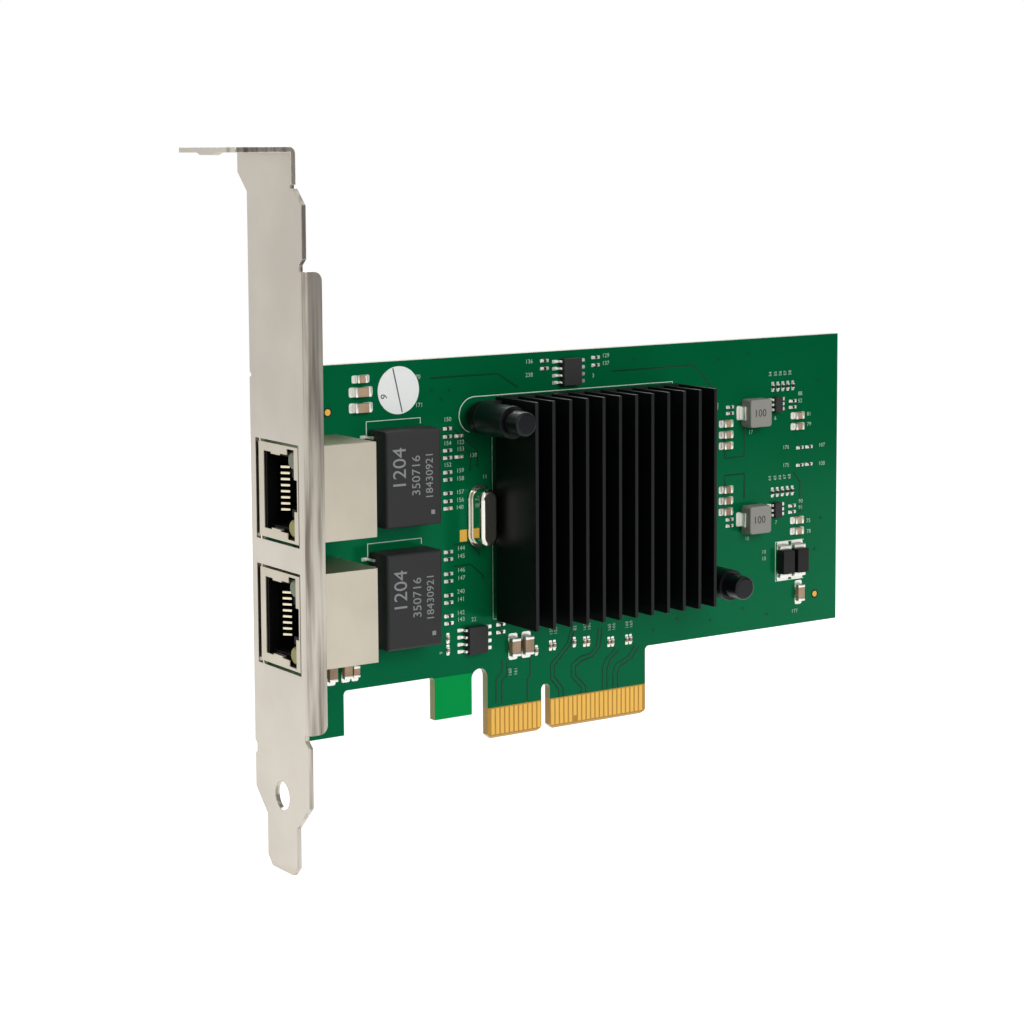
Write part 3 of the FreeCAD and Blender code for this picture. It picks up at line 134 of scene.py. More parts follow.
def node(owner, kind, **values):
    """A node of a material or world, with inputs (their spaces written as _) or settings set."""
    made = owner.node_tree.nodes.new(kind)
    for name, value in values.items():
        socket = name.replace("_", " ")
        if socket in made.inputs:
            made.inputs[socket].default_value = value
        else:
            setattr(made, name, value)
    return made


def join(owner, start, end):
    """Links an output to an input."""
    owner.node_tree.links.new(start, end)


def noise(material, scale, detail, stretch=None):
    """Noise that stays with the card, with its scale along each axis where a stretch is given."""
    place = node(material, "ShaderNodeTexCoord").outputs["Object"]
    if stretch:
        stretched = node(material, "ShaderNodeMapping", Scale=stretch)
        join(material, place, stretched.inputs["Vector"])
        place = stretched.outputs["Vector"]
    made = node(material, "ShaderNodeTexNoise", Scale=scale, Detail=detail)
    join(material, place, made.inputs["Vector"])
    return made.outputs["Fac"]


def bump(material, height, strength, distance):
    """Unevenness of the surface, from a height of 0 to 1."""
    made = node(material, "ShaderNodeBump", Strength=strength, Distance=distance)
    join(material, height, made.inputs["Height"])
    join(material, made.outputs["Normal"], shader_of(material).inputs["Normal"])


def grain(material, scale, strength):
    """Fine unevenness in the surface."""
    bump(material, noise(material, scale, detail=3.0), strength, distance=0.02 * MM)


def streaks(material, strength):
    """Upright unevenness, as rolled and bent sheet has."""
    height = noise(material, scale=1.0, detail=2.0, stretch=(1100, 1100, 25))
    bump(material, height, strength, distance=0.05 * MM)


def mottle(material, scale, dark, light):
    """Colour that wanders between two tones over the surface."""
    ramp = node(material, "ShaderNodeValToRGB")
    for stop, position, tone in zip(ramp.color_ramp.elements, (0.35, 0.65), (dark, light)):
        stop.position = position
        stop.color = written(*tone)
    join(material, noise(material, scale, detail=4.0), ramp.inputs["Fac"])
    join(material, ramp.outputs["Color"], shader_of(material).inputs["Base Color"])


def compared(material, value, operation, limit):
    """1 where the value is on the asked side of a limit, else 0."""
    made = node(material, "ShaderNodeMath", operation=operation)
    made.inputs[1].default_value = limit
    join(material, value, made.inputs[0])
    return made.outputs[0]


def over(material, value, limit):
    """1 where the value is over a limit, else 0."""
    return compared(material, value, "GREATER_THAN", limit)


def under(material, value, limit):
    """1 where the value is under a limit, else 0."""
    return compared(material, value, "LESS_THAN", limit)


def product(material, first, second):
    """Two values multiplied."""
    made = node(material, "ShaderNodeMath", operation="MULTIPLY")
    join(material, first, made.inputs[0])
    join(material, second, made.inputs[1])
    return made.outputs[0]


def between(material, value, low, high):
    """1 where the value lies between two limits, else 0."""
    return product(material, over(material, value, low), under(material, value, high))


def overlay(material, base, colour, share):
    """A colour laid over a base by a share from 0 to 1; the base is a colour or an output."""
    made = node(material, "ShaderNodeMix", data_type="RGBA")
    made.inputs["B"].default_value = written(*colour)
    if isinstance(base, tuple):
        made.inputs["A"].default_value = written(*base)
    else:
        join(material, base, made.inputs["A"])
    join(material, share, made.inputs["Factor"])
    return made.outputs["Result"]


def facing(material):
    """How far the surface faces along the card's thickness, from 0 to 1."""
    normal = node(material, "ShaderNodeNewGeometry")
    parts = node(material, "ShaderNodeSeparateXYZ")
    size = node(material, "ShaderNodeMath", operation="ABSOLUTE")
    join(material, normal.outputs["Normal"], parts.inputs["Vector"])
    join(material, parts.outputs["Y"], size.inputs[0])
    return size.outputs[0]


def solder_mask():
    """Green lacquer: brighter on the keeper, bare laminate round the contacts and at the cut edges."""
    made = finish("green_solder_mask", LACQUER, 0.16, Specular_IOR_Level=0.3,
                  Specular_Tint=(0.02, 1.0, 0.5, 1))
    parts = node(made, "ShaderNodeSeparateXYZ")
    join(made, node(made, "ShaderNodeTexCoord").outputs["Object"], parts.inputs["Vector"])
    across, up = parts.outputs["X"], parts.outputs["Z"]
    keeper = product(made, between(made, across, *KEEPER_SPAN), under(made, up, KEEPER_TOP))
    fingers = product(made, between(made, across, *FINGER_SPAN), under(made, up, FINGER_TOP))
    turned = facing(made)
    slope = product(made, fingers, under(made, turned, FACES_PLAINLY_FORWARD))
    colour = overlay(made, DEEP_LACQUER, PALE_LACQUER, noise(made, scale=22.0, detail=2.0))
    colour = overlay(made, colour, KEEPER_LACQUER, keeper)
    colour = overlay(made, colour, BARE_LAMINATE, fingers)
    colour = overlay(made, colour, CUT_LAMINATE, under(made, turned, FACES_FORWARD))
    colour = overlay(made, colour, SLOPED_LAMINATE, slope)
    join(made, colour, shader_of(made).inputs["Base Color"])
    return made


def painted_fin_shade(material, shaded_walls, lit_ends):
    """Fin walls are painted darker, as shade between the fins, and their ends paler, as where light falls.
    """
    colour = overlay(material, shaded_walls, lit_ends, over(material, facing(material), FACES_FORWARD))
    join(material, colour, shader_of(material).inputs["Base Color"])


def painted_reflection_streaks(material, colour):
    """Upright dark streaks painted on the folded flange: a painted reflection of dark surroundings."""
    base = shader_of(material).inputs["Base Color"]
    ramp = node(material, "ShaderNodeMapRange", From_Min=0.44, From_Max=0.72, To_Max=0.9)
    marks = noise(material, scale=1.0, detail=3.0, stretch=(900, 900, 40))
    join(material, marks, ramp.inputs["Value"])
    forward = over(material, facing(material), FACES_FORWARD)
    share = product(material, ramp.outputs["Result"], forward)
    join(material, overlay(material, base.links[0].from_socket, colour, share), base)


FINISHES = {
    "pcb": solder_mask(),
    "trace": finish("gap_under_mask", (0, 62, 37), 0.3, Specular_IOR_Level=0.15),
    "gold": finish("gold_plating", (220, 172, 86), 0.3, 1.0),
    "flat_gold": finish("flat_gold", (226, 178, 72), 0.5, 0.4),
    "bracket": finish("nickel_plate", (192, 185, 175), 0.3, 1.0),
    "screw": finish("zinc_plate", (200, 200, 198), 0.3, 1.0),
    "shield": finish("tin_plate", (196, 188, 172), 0.42, 1.0),
    "black_plastic": finish("black_housing", (3, 3, 3), 0.5, Specular_IOR_Level=0.15),
    "lamp_green": finish("clear_green_lamp", (132, 146, 104), 0.16, Transmission_Weight=0.1),
    "lamp_yellow": finish("clear_yellow_lamp", (182, 176, 58), 0.16, Transmission_Weight=0.1),
    "heatsink": finish("black_anodising", (12, 13, 16), 0.4, Specular_IOR_Level=0.14),
    "pin_plastic": finish("black_nylon", (12, 15, 18), 0.3, Specular_IOR_Level=0.25),
    "chip_package": finish("black_moulding", (46, 46, 47), 0.5, Specular_IOR_Level=0.2),
    "dark_moulding": finish("dark_moulding", (20, 20, 20), 0.45, Specular_IOR_Level=0.25),
    "thermal_pad": finish("thermal_sheet", (120, 122, 128), 0.7),
    "solder": finish("bright_tin", (238, 237, 231), 0.36, 1.0),
    "spring": finish("plated_spring", (226, 214, 184), 0.25, 1.0),
    "coil": finish("pressed_powder", (134, 133, 126), 0.55),
    "capacitor": finish("tan_ceramic", (176, 138, 104), 0.36),
    "resistor": finish("resistor_glaze", (22, 22, 24), 0.4),
    "crystal": finish("polished_steel", (214, 212, 200), 0.12, 1.0),
    "label": finish("label_paper", (228, 231, 229), 0.5),
    "print": finish("white_print", (200, 214, 202), 0.55),
    "small_print": finish("thin_white_print", (158, 184, 164), 0.6),
    "mask_ring": finish("bare_laminate_ring", (10, 44, 30), 0.4, Specular_IOR_Level=0.2),
    "ink": finish("dark_ink", (40, 44, 44), 0.6),
    "faint_print": finish("grey_marking", (128, 130, 130), 0.55),
}
mottle(FINISHES["bracket"], 60.0, (187, 180, 169), (197, 190, 179))
mottle(FINISHES["shield"], 90.0, (192, 184, 168), (200, 192, 176))
mottle(FINISHES["capacitor"], 160.0, (142, 112, 84), (178, 152, 126))
streaks(FINISHES["bracket"], 0.15)
# painted reflection: dark upright streaks on the flange's faces that face along the card's thickness
painted_reflection_streaks(FINISHES["bracket"], (104, 96, 82))
# painted shade: the fin walls darker than their paler ends
painted_fin_shade(FINISHES["heatsink"], (8, 10, 11), (30, 30, 34))
grain(FINISHES["chip_package"], 9000.0, 0.25)
grain(FINISHES["black_plastic"], 6000.0, 0.2)
grain(FINISHES["coil"], 7000.0, 0.35)


# ---------------------------------------------------------------- working with pieces

# points closer than WELD become one point, faces that meet flatter than FLAT_ANGLE become one face and
# edges sharper than EDGE_ANGLE are rounded; SAME_PLACE is the slack when two places are compared
WELD = 0.002 * MM
FLAT_ANGLE = math.radians(1)
EDGE_ANGLE = math.radians(40)
CONE_ANGLE = math.radians(50)
SAME_PLACE = 1e-7


def select_only(piece):
    """Makes a piece the only selected and active one."""
    bpy.ops.object.select_all(action="DESELECT")
    piece.select_set(True)
    bpy.context.view_layer.objects.active = piece


def paint(piece, name):
    """Gives a piece one finish."""
    piece.data.materials.clear()
    piece.data.materials.append(FINISHES[name])


def belongs(piece):
    """Last step of a new piece: it goes with the card."""
    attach(piece, "root")


def settle(piece):
    """Puts a piece's place, turn and size into its mesh."""
    select_only(piece)
    bpy.ops.object.transform_apply(location=True, rotation=True, scale=True)


def edged(name, width, segments=2, look=None):
    """A CAD node's copy with merged faces and rounded edges, shown in the node's place."""
    piece = bpy.data.objects.new(f"{name}_finished", NODES[name].data.copy())
    bpy.context.scene.collection.objects.link(piece)
    select_only(piece)
    bpy.ops.mesh.customdata_custom_splitnormals_clear()
    bpy.ops.object.mode_set(mode="EDIT")
    bpy.ops.mesh.select_all(action="SELECT")
    bpy.ops.mesh.remove_doubles(threshold=WELD)
    bpy.ops.mesh.dissolve_limited(angle_limit=FLAT_ANGLE)
    bpy.ops.object.mode_set(mode="OBJECT")
    rounding = piece.modifiers.new("rounding", "BEVEL")
    rounding.width = width
    rounding.segments = segments
    rounding.limit_method = "ANGLE"
    rounding.angle_limit = EDGE_ANGLE
    bpy.ops.object.modifier_apply(modifier=rounding.name)
    bpy.ops.object.shade_smooth_by_angle(angle=EDGE_ANGLE)
    flat_faces = piece.modifiers.new("flat_faces", "WEIGHTED_NORMAL")
    flat_faces.keep_sharp = True
    bpy.ops.object.modifier_apply(modifier=flat_faces.name)
    paint(piece, look or SLOTS[name])
    belongs(piece)
    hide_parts(name)


def islands(name):
    """The boxes of a CAD node's separate solids, as pairs of corners, from low X to high."""
    mesh = NODES[name].data
    leader = {}

    def lead(key):
        while leader[key] != key:
            leader[key] = leader[leader[key]]
            key = leader[key]
        return key

    keys = [tuple(round(part / MM, 3) for part in vertex.co) for vertex in mesh.vertices]
    for key in keys:
        leader.setdefault(key, key)
    for face in mesh.polygons:
        first = lead(keys[face.vertices[0]])
        for index in face.vertices[1:]:
            leader[lead(keys[index])] = first
    groups = {}
    for key in leader:
        groups.setdefault(lead(key), []).append(key)
    found = []
    for points in groups.values():
        low = Vector([min(point[axis] for point in points) * MM for axis in range(3)])
        high = Vector([max(point[axis] for point in points) * MM for axis in range(3)])
        found.append((low, high))
    return sorted(found, key=lambda pair: (round(pair[0].x, 5), round(pair[0].z, 5)))


ISLANDS = {}


def islands_of(name):
    """The same boxes, worked out once for each node."""
    if name not in ISLANDS:
        ISLANDS[name] = islands(name)
    return ISLANDS[name]


def merge(pieces, name):
    """Several new pieces as one."""
    bpy.ops.object.select_all(action="DESELECT")
    for piece in pieces:
        piece.select_set(True)
    bpy.context.view_layer.objects.active = pieces[0]
    if len(pieces) > 1:
        bpy.ops.object.join()
    pieces[0].name = name
    return pieces[0]


def repeat(piece, places):
    """Copies of a piece that was modelled at the origin, each with its own mesh, as one piece."""
    copies = []
    for place in places:
        made = piece.copy()
        made.data = piece.data.copy()
        made.data.transform(Matrix.Translation(place))
        bpy.context.scene.collection.objects.link(made)
        copies.append(made)
    name = piece.name
    bpy.data.objects.remove(piece)
    return merge(copies, name)


# ---------------------------------------------------------------- layers on the board

def plates(name, boxes, look, edge=0.2):
    """Thin plates on the board's face, one for each (x0, x1, z0, z1, height).

    The edge is the share of a plate's shorter side that each rounded corner takes.
    """
    made = []
    for left, right, low, high, height in boxes:
        place = ((left + right) / 2, FACE - height / 2, (low + high) / 2)
        bpy.ops.object.select_all(action="DESELECT")
        bpy.ops.mesh.primitive_cube_add(size=1, location=place, scale=(right - left, height, high - low))
        plate = bpy.context.object
        settle(plate)
        bpy.ops.object.mode_set(mode="EDIT")
        bpy.ops.mesh.select_mode(type="EDGE")
        bpy.ops.mesh.select_all(action="DESELECT")
        bpy.ops.object.mode_set(mode="OBJECT")
        for side in plate.data.edges:
            start, end = (plate.data.vertices[index].co for index in side.vertices)
            side.select = abs(start.x - end.x) < SAME_PLACE and abs(start.z - end.z) < SAME_PLACE
        bpy.ops.object.mode_set(mode="EDIT")
        bpy.ops.mesh.bevel(offset=edge * min(right - left, high - low), segments=2, affect="EDGES")
        bpy.ops.object.mode_set(mode="OBJECT")
        made.append(plate)
    piece = merge(made, name)
    paint(piece, look)
    belongs(piece)
    return piece


def ribbons(name, routes, width, height, look):
    """Flat lines over the board, each along a route of (x, z) points in millimetres."""
    shape = bpy.data.curves.new(name, "CURVE")
    shape.dimensions = "3D"
    shape.bevel_depth = width / 2
    shape.bevel_resolution = 1
    shape.use_fill_caps = True
    for route in routes:
        line = shape.splines.new("POLY")
        line.points.add(len(route) - 1)
        for point, (across, up) in zip(line.points, route):
            point.co = (across * MM, 0, up * MM, 1)
    piece = bpy.data.objects.new(name, shape)
    bpy.context.scene.collection.objects.link(piece)
    select_only(piece)
    bpy.ops.object.convert(target="MESH")
    piece = bpy.context.object
    piece.scale.y = 2 * height / width
    piece.location.y = FACE
    settle(piece)
    paint(piece, look)
    belongs(piece)
    return piece


def digits(name, marks, look, wall=FACE, turn=0.0):
    """Plain numbers on a wall: each mark is (text, x, z, size) in millimetres, read from the front."""
    upright = Matrix.Rotation(math.pi / 2, 4, "X") @ Matrix.Rotation(turn, 4, "Z")
    made = []
    for text, across, up, size in marks:
        bpy.ops.object.select_all(action="DESELECT")
        bpy.ops.object.text_add()
        mark = bpy.context.object
        mark.data.body = text
        mark.data.size = size * MM
        mark.data.resolution_u = 3
        mark.data.extrude = PRINT_HEIGHT / 2
        mark.data.align_x = "CENTER"
        mark.data.align_y = "CENTER"
        select_only(mark)
        bpy.ops.object.convert(target="MESH")
        mark = bpy.context.object
        place = Matrix.Translation((across * MM, wall - PRINT_HEIGHT / 2, up * MM))
        mark.matrix_world = place @ upright
        settle(mark)
        made.append(mark)
    piece = merge(made, name)
    paint(piece, look)
    belongs(piece)


# ---------------------------------------------------------------- the card

# how far numbers turn in their own plane, in radians
TURNED = math.pi / 2
LABEL_TURN = -1.75


def dress_metal():
    """Sheet metal, screws and the crystal."""
    edged("bracket", 0.16 * MM, 3)
    edged("jack_shields", 0.1 * MM)
    edged("bracket_screws", 0.12 * MM)
    edged("crystal_can", 0.28 * MM, 3)
    edged("crystal_base", 0.12 * MM)


def dress_plastic():
    """Mouldings: jacks, packages, coils, push pins and lamps."""
    edged("jack_housings", 0.06 * MM)
    edged("line_transformers", 0.18 * MM)
    edged("controller_chip", 0.1 * MM)
    edged("small_outline_chips", 0.14 * MM)
    edged("regulators", 0.1 * MM)
    edged("diodes", 0.16 * MM, look="dark_moulding")
    edged("power_coils", 0.3 * MM, 3)
    edged("push_pin_sleeves", 0.2 * MM)
    edged("push_pin_plungers", 0.55 * MM, 4)
    edged("jack_link_lamps", 0.5 * MM, 3)
    edged("jack_activity_lamps", 0.5 * MM, 3)


def dress_cooler():
    """The finned cooler."""
    edged("heatsink", 0.12 * MM)


def dress_small_parts():
    """Small ceramic parts, plated ends, leads and contacts."""
    edged("chip_capacitors", 0.06 * MM, 1)
    edged("chip_resistors", 0.03 * MM, 1)
    edged("chip_terminals", 0.08 * MM)
    edged("coil_terminals", 0.08 * MM, 1)
    edged("diode_terminals", 0.1 * MM)
    edged("transformer_leads", 0.05 * MM, 1)
    edged("small_outline_leads", 0.05 * MM, 1)
    edged("regulator_leads", 0.04 * MM, 1)
    edged("jack_contacts", 0.06 * MM, look="spring")


def keep_cad(name, look=None):
    """A CAD node that is right as it is gets its finish."""
    paint(NODES[name], look or SLOTS[name])


# lands round plated ends: past the end this much and this share of its longer side, up to a most
END_LAND = 0.25 * MM
END_LAND_SHARE = 0.4
END_LAND_MOST = 0.75 * MM
END_LAND_SIDE = 0.06 * MM

# lands at leads: past the lead's tip, beside it, and the share of the lead that they lie under
LEAD_LAND = 0.6 * MM
LEAD_LAND_SIDE = 0.08 * MM
LEAD_LAND_SHARE = 0.5

# the packages that the leads belong to
BODIES = {
    "transformer_leads": "line_transformers",
    "small_outline_leads": "small_outline_chips",
    "regulator_leads": "regulators",
}


def is_right_lead(name, across):
    """Whether a lead is on the +X side of the package nearest to it."""
    centres = [(low.x + high.x) / 2 for low, high in islands_of(BODIES[name])]
    nearest = min(centres, key=lambda centre: abs(centre - across))
    return across > nearest


def end_lands(name):
    """Boxes of the lands round a node's plated ends."""
    boxes = []
    for low, high in islands(name):
        wide, tall = high.x - low.x, high.z - low.z
        past = min(END_LAND + END_LAND_SHARE * max(wide, tall), END_LAND_MOST)
        grow_x, grow_z = (past, END_LAND_SIDE) if wide < tall else (END_LAND_SIDE, past)
        boxes.append((low.x - grow_x, high.x + grow_x, low.z - grow_z, high.z + grow_z, LAND_HEIGHT))
    return boxes


def lead_lands(name):
    """Boxes of the lands under a node's leads."""
    boxes = []
    for low, high in islands(name):
        covered = LEAD_LAND_SHARE * (high.x - low.x)
        if is_right_lead(name, (low.x + high.x) / 2):
            left, right = high.x - covered, high.x + LEAD_LAND
        else:
            left, right = low.x - LEAD_LAND, low.x + covered
        boxes.append((left, right, low.z - LEAD_LAND_SIDE, high.z + LEAD_LAND_SIDE, LAND_HEIGHT))
    return boxes


def make_lands():
    """Soldered lands under every plated end and lead."""
    boxes = []
    for name in ("chip_terminals", "diode_terminals", "coil_terminals"):
        boxes.extend(end_lands(name))
    for name in BODIES:
        boxes.extend(lead_lands(name))
    plates("solder_lands", boxes, "solder")


CONE_SIDES = 20
CONE_FOOT = 0.95 * MM
CONE_TIP = 0.32 * MM
CONE_HEIGHT = 0.75 * MM


def make_joints():
    """Solder cones round the jacks' pin tails behind the board."""
    bpy.ops.object.select_all(action="DESELECT")
    bpy.ops.mesh.primitive_cone_add(vertices=CONE_SIDES, radius1=CONE_FOOT, radius2=CONE_TIP,
                                    depth=CONE_HEIGHT, rotation=(-math.pi / 2, 0, 0))
    cone = bpy.context.object
    cone.name = "solder_joints"
    settle(cone)
    bpy.ops.object.shade_smooth_by_angle(angle=CONE_ANGLE)
    places = []
    for low, high in islands("jack_pin_tails"):
        places.append(((low.x + high.x) / 2, BACK + CONE_HEIGHT / 2, (low.z + high.z) / 2))
    piece = repeat(cone, places)
    paint(piece, "solder")
    belongs(piece)


def make_label_marks():
    """A pen line and a plain number on the round label."""
    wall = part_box("inspection_label")[0].y
    line = ribbons("label_line", [[(-31.7, 67.7), (-29.9, 60.0)]], PEN_LINE, PRINT_HEIGHT, "ink")
    line.data.transform(Matrix.Translation((0, wall - FACE, 0)))
    digits("label_number", [("6", -33.6, 62.9, 1.9)], "ink", wall=wall, turn=LABEL_TURN)


# plain numbers beside the parts, as (text, x, z), in millimetres
PART_NUMBERS = [
    ("150", -20.6, 58.1), ("154", -20.65, 53.9), ("152", -20.65, 50.1), ("123", -17.95, 53.9),
    ("153", -17.95, 52.7), ("138", -15.3, 51.4), ("159", -18.05, 48.9), ("158", -18.05, 47.5),
    ("11", -12.9, 47.4), ("157", -18.1, 45.1), ("156", -18.1, 43.7), ("140", -18.2, 42.4),
    ("144", -18.0, 35.1), ("145", -18.0, 33.7), ("146", -18.0, 31.2), ("147", -18.0, 29.8),
    ("240", -18.1, 27.4), ("141", -18.1, 26.0), ("142", -18.15, 23.6), ("143", -18.1, 22.4),
    ("136", -3.3, 67.3), ("238", -3.3, 64.9), ("129", 13.6, 67.5), ("137", 13.6, 66.1), ("3", 10.8, 64.0),
    ("17", 47.8, 51.0), ("6", 53.9, 53.3), ("88", 60.1, 57.7), ("52", 60.1, 56.3), ("81", 62.4, 53.6),
    ("79", 62.4, 51.6), ("176", 56.6, 47.5), ("107", 65.7, 47.3), ("175", 56.6, 44.0), ("108", 65.7, 43.7),
    ("90", 60.4, 36.7), ("91", 60.4, 35.5), ("75", 62.4, 32.7), ("78", 62.5, 30.6), ("18", 47.0, 30.6),
    ("7", 54.2, 33.1), ("10", 51.2, 27.6), ("10", 51.2, 26.3), ("177", 59.0, 15.2), ("22", -15.4, 22.1),
    ("170", -26.9, 65.9), ("171", -26.4, 61.0),
]
# the same for numbers that read upwards
TURNED_NUMBERS = [
    ("54", 52.6, 61.9), ("55", 53.9, 61.9), ("56", 55.1, 61.9), ("57", 56.3, 61.9), ("58", 57.5, 61.9),
    ("64", 52.6, 41.8), ("65", 53.9, 41.8), ("66", 55.1, 41.8), ("67", 56.3, 41.8), ("68", 57.5, 41.8),
    ("183", 39.6, 56.5), ("184", 39.3, 33.9), ("160", -7.7, 11.6), ("161", -6.5, 11.6), ("9", -22.3, 16.9),
    ("155", 1.3, 18.0), ("156", 2.3, 18.0), ("163", 8.8, 17.9), ("164", 9.8, 17.9), ("82", 6.6, 18.0),
    ("165", 14.4, 17.2), ("166", 15.4, 17.2), ("168", 18.4, 17.2), ("169", 19.4, 17.2),
]
NUMBER_SIZE = 1.08
TURNED_NUMBER_SIZE = 0.95


def arc(centre, radius, start, end, steps=18):
    """Points of an arc, its ends in degrees."""
    points = []
    for step in range(steps + 1):
        angle = math.radians(start + (end - start) * step / steps)
        points.append((centre[0] + radius * math.cos(angle), centre[1] + radius * math.sin(angle)))
    return points


def make_board_print():
    """White print: part numbers, package outlines and the outline of the cooler."""
    upright = [(*mark, NUMBER_SIZE) for mark in PART_NUMBERS]
    turned = [(*mark, TURNED_NUMBER_SIZE) for mark in TURNED_NUMBERS]
    digits("part_numbers", upright, "small_print")
    digits("turned_numbers", turned, "small_print", turn=TURNED)
    outlines = []
    for middle in PORTS.values():
        top = middle + 9.6
        outlines.append([(-37.05, middle + 7.0), (-37.05, top), (-26.2, top), (-26.2, middle + 8.6)])
    outlines.append([(-10.3, 21.6), (-11.3, 21.7), (-11.3, 54.4)])
    outlines.append(arc((-15.0, 58.55), 3.2, 250, 90) + [(28.95, 61.85), (28.95, 60.9)])
    outlines.append([(61.2, 29.2), (54.1, 29.2), (54.1, 21.6), (61.2, 21.6)])
    ribbons("print_outlines", outlines, PRINT_LINE, PRINT_HEIGHT, "print")


# routes of the copper lines, as (x, z) in millimetres; the points of the first eleven are converted
# readings, most of them left as a conversion gave them, and aren't worked out from anything
TRACE_ROUTES = [
    [(5.87, 18.25), (4.88, 15.4), (1.17, 11.86), (1.14, 9.28), (2.9, 7.1), (3.0, 5.6)],
    [(6.56, 17.8), (5.57, 14.96), (2.05, 11.6), (2.03, 9.48), (3.9, 7.33), (4.0, 5.6)],
    [(11.95, 17.45), (11.39, 14.11), (10.08, 12.85), (7.71, 12.46), (5.78, 11.29), (5.75, 9.06), (8.0, 6.7),
     (8.0, 5.6)],
    [(12.72, 17.25), (12.22, 13.75), (10.59, 12.16), (8.34, 11.71), (6.73, 10.76), (6.71, 9.2), (9.0, 6.93),
     (9.0, 5.6)],
    [(15.78, 13.06), (13.42, 11.24), (12.81, 9.74), (12.83, 5.8)],
    [(16.56, 12.7), (14.45, 10.95), (13.85, 9.35), (13.86, 5.77)],
    [(20.38, 13.3), (18.7, 11.28), (15.74, 10.06), (15.2, 8.65), (15.23, 5.75)],
    [(21.16, 12.67), (19.49, 10.76), (16.78, 9.51), (16.24, 8.31), (16.27, 5.72)],
    [(-9.45, 14.3), (-9.48, 11.76), (-10.71, 10.89), (-10.76, 6.32)],
    [(-8.35, 13.66), (-8.38, 11.11), (-9.49, 10.23), (-9.54, 6.26)],
    [(-3.3, 13.55), (-3.34, 10.47), (-3.96, 9.78), (-4.01, 6.04)],
    [(-19.6, 56.4), (-14.5, 52.0), (-14.5, 50.0)],
    [(-19.6, 55.0), (-16.0, 51.6), (-16.0, 49.4)],
    [(-19.6, 35.9), (-16.4, 35.9), (-14.2, 33.8)],
    [(-19.6, 32.0), (-16.0, 32.0), (-13.4, 29.6)],
    [(41.5, 50.6), (41.5, 46.5), (46.3, 46.5), (46.3, 53.6)],
    [(41.5, 39.4), (41.5, 43.2), (46.3, 43.2), (46.3, 38.4)],
    [(58.5, 42.5), (60.2, 40.6), (60.2, 35.0)],
    [(-24.2, 65.6), (-10.0, 65.6), (-6.2, 63.2)],
    [(15.0, 64.6), (34.0, 64.6), (39.0, 59.6)],
]

# middles of the small holes between layers, as (x, z) in millimetres
LAYER_HOLES = [
    (-23.9, 63.4), (-22.0, 61.7), (-20.2, 63.2), (-13.4, 29.4), (-14.2, 33.6), (-14.5, 49.6),
    (-16.0, 49.0), (46.3, 54.0), (39.2, 59.4), (-6.0, 63.0), (60.2, 34.7), (24.5, 15.5), (30.0, 17.0),
    (38.0, 15.8), (46.0, 17.2), (52.0, 15.4), (64.0, 27.0), (65.5, 33.0), (64.6, 60.0), (40.0, 65.4),
    (47.0, 66.2), (20.0, 66.6),
]
HOLE_RADIUS = 0.3


def make_traces():
    """Copper lines that show through the lacquer, and small holes between layers."""
    ribbons("copper_lines", TRACE_ROUTES, TRACE_WIDTH, TRACE_HEIGHT, "trace")
    holes = []
    for x, z in LAYER_HOLES:
        left, right = (x - HOLE_RADIUS) * MM, (x + HOLE_RADIUS) * MM
        low, high = (z - HOLE_RADIUS) * MM, (z + HOLE_RADIUS) * MM
        holes.append((left, right, low, high, TRACE_HEIGHT))
    plates("layer_holes", holes, "trace", edge=0.45)


# rings lie round pads lower than this, and are wider than the pad by this factor
ROUND_PAD_MOST = 1.6 * MM
RING_SHARE = 1.7


def make_mask_rings():
    """Dark ring of bare laminate round each small round test pad."""
    rings = []
    for low, high in islands("gold_pads"):
        if high.z - low.z < ROUND_PAD_MOST:
            across, up = (low.x + high.x) / 2, (low.z + high.z) / 2
            reach = RING_SHARE * (high.x - low.x) / 2
            rings.append((across - reach, across + reach, up - reach, up + reach, RING_HEIGHT))
    plates("mask_rings", rings, "mask_ring", edge=0.49)


# numbers on a line transformer, as (text, x, rise over its middle, size), in millimetres
TRANSFORMER_NUMBERS = {
    "large": ("1204", -34.0, 1.9, 3.7),
    "type": ("350716", -30.75, 0.5, 2.35),
    "lot": ("18430921", -28.1, 0.3, 2.05),
}
COIL_NUMBERS = [("100", 47.7, 54.9, 2.0), ("100", 47.6, 34.5, 2.0)]

# the first-lead mark, along X and down from a transformer's middle, in millimetres
LEAD_MARK_SPAN = (-27.85, -27.1)
LEAD_MARK_DROP = (6.4, 5.65)


def make_package_marks():
    """Plain numbers and the first-lead mark on each line transformer, and numbers on the power coils."""
    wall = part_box("line_transformers")[0].y
    left, right = LEAD_MARK_SPAN
    lower, upper = LEAD_MARK_DROP
    boxes = []
    for port, middle in PORTS.items():
        for line, (text, across, rise, size) in TRANSFORMER_NUMBERS.items():
            digits(f"{port}_{line}_number", [(text, across, middle + rise, size)], "faint_print",
                   wall=wall, turn=TURNED)
        boxes.append((left * MM, right * MM, (middle - lower) * MM, (middle - upper) * MM, PRINT_HEIGHT))
    marks = plates("first_lead_marks", boxes, "faint_print", edge=0.1)
    marks.data.transform(Matrix.Translation((0, wall - FACE, 0)))
    digits("coil_numbers", COIL_NUMBERS, "ink", wall=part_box("power_coils")[0].y)


# ---------------------------------------------------------------- studio

CAMERA_PLACE = Vector((-0.2462, -0.3557, 0.1054))
CAMERA_AZIMUTH = math.radians(33.98)
CAMERA_PITCH = math.radians(-5.71)
CAMERA_ROLL = math.radians(-0.31)
CAMERA_LENS = 85.19
CAMERA_SHIFT = -0.12
CAMERA_NEAR = 0.01

# the floor: its side, its drop below the card, its glow, and where it fades to plain white
FLOOR_SIDE = 1.5
FLOOR_DROP = 0.05 * MM
FLOOR_GLOW = 0.7
FLOOR_FADE = (0.3, 0.7)

# strength of the world as light, and as a white background
WORLD_LIGHT = 0.3
WORLD_WHITE = 1.0
WHITE = (1, 1, 1, 1)

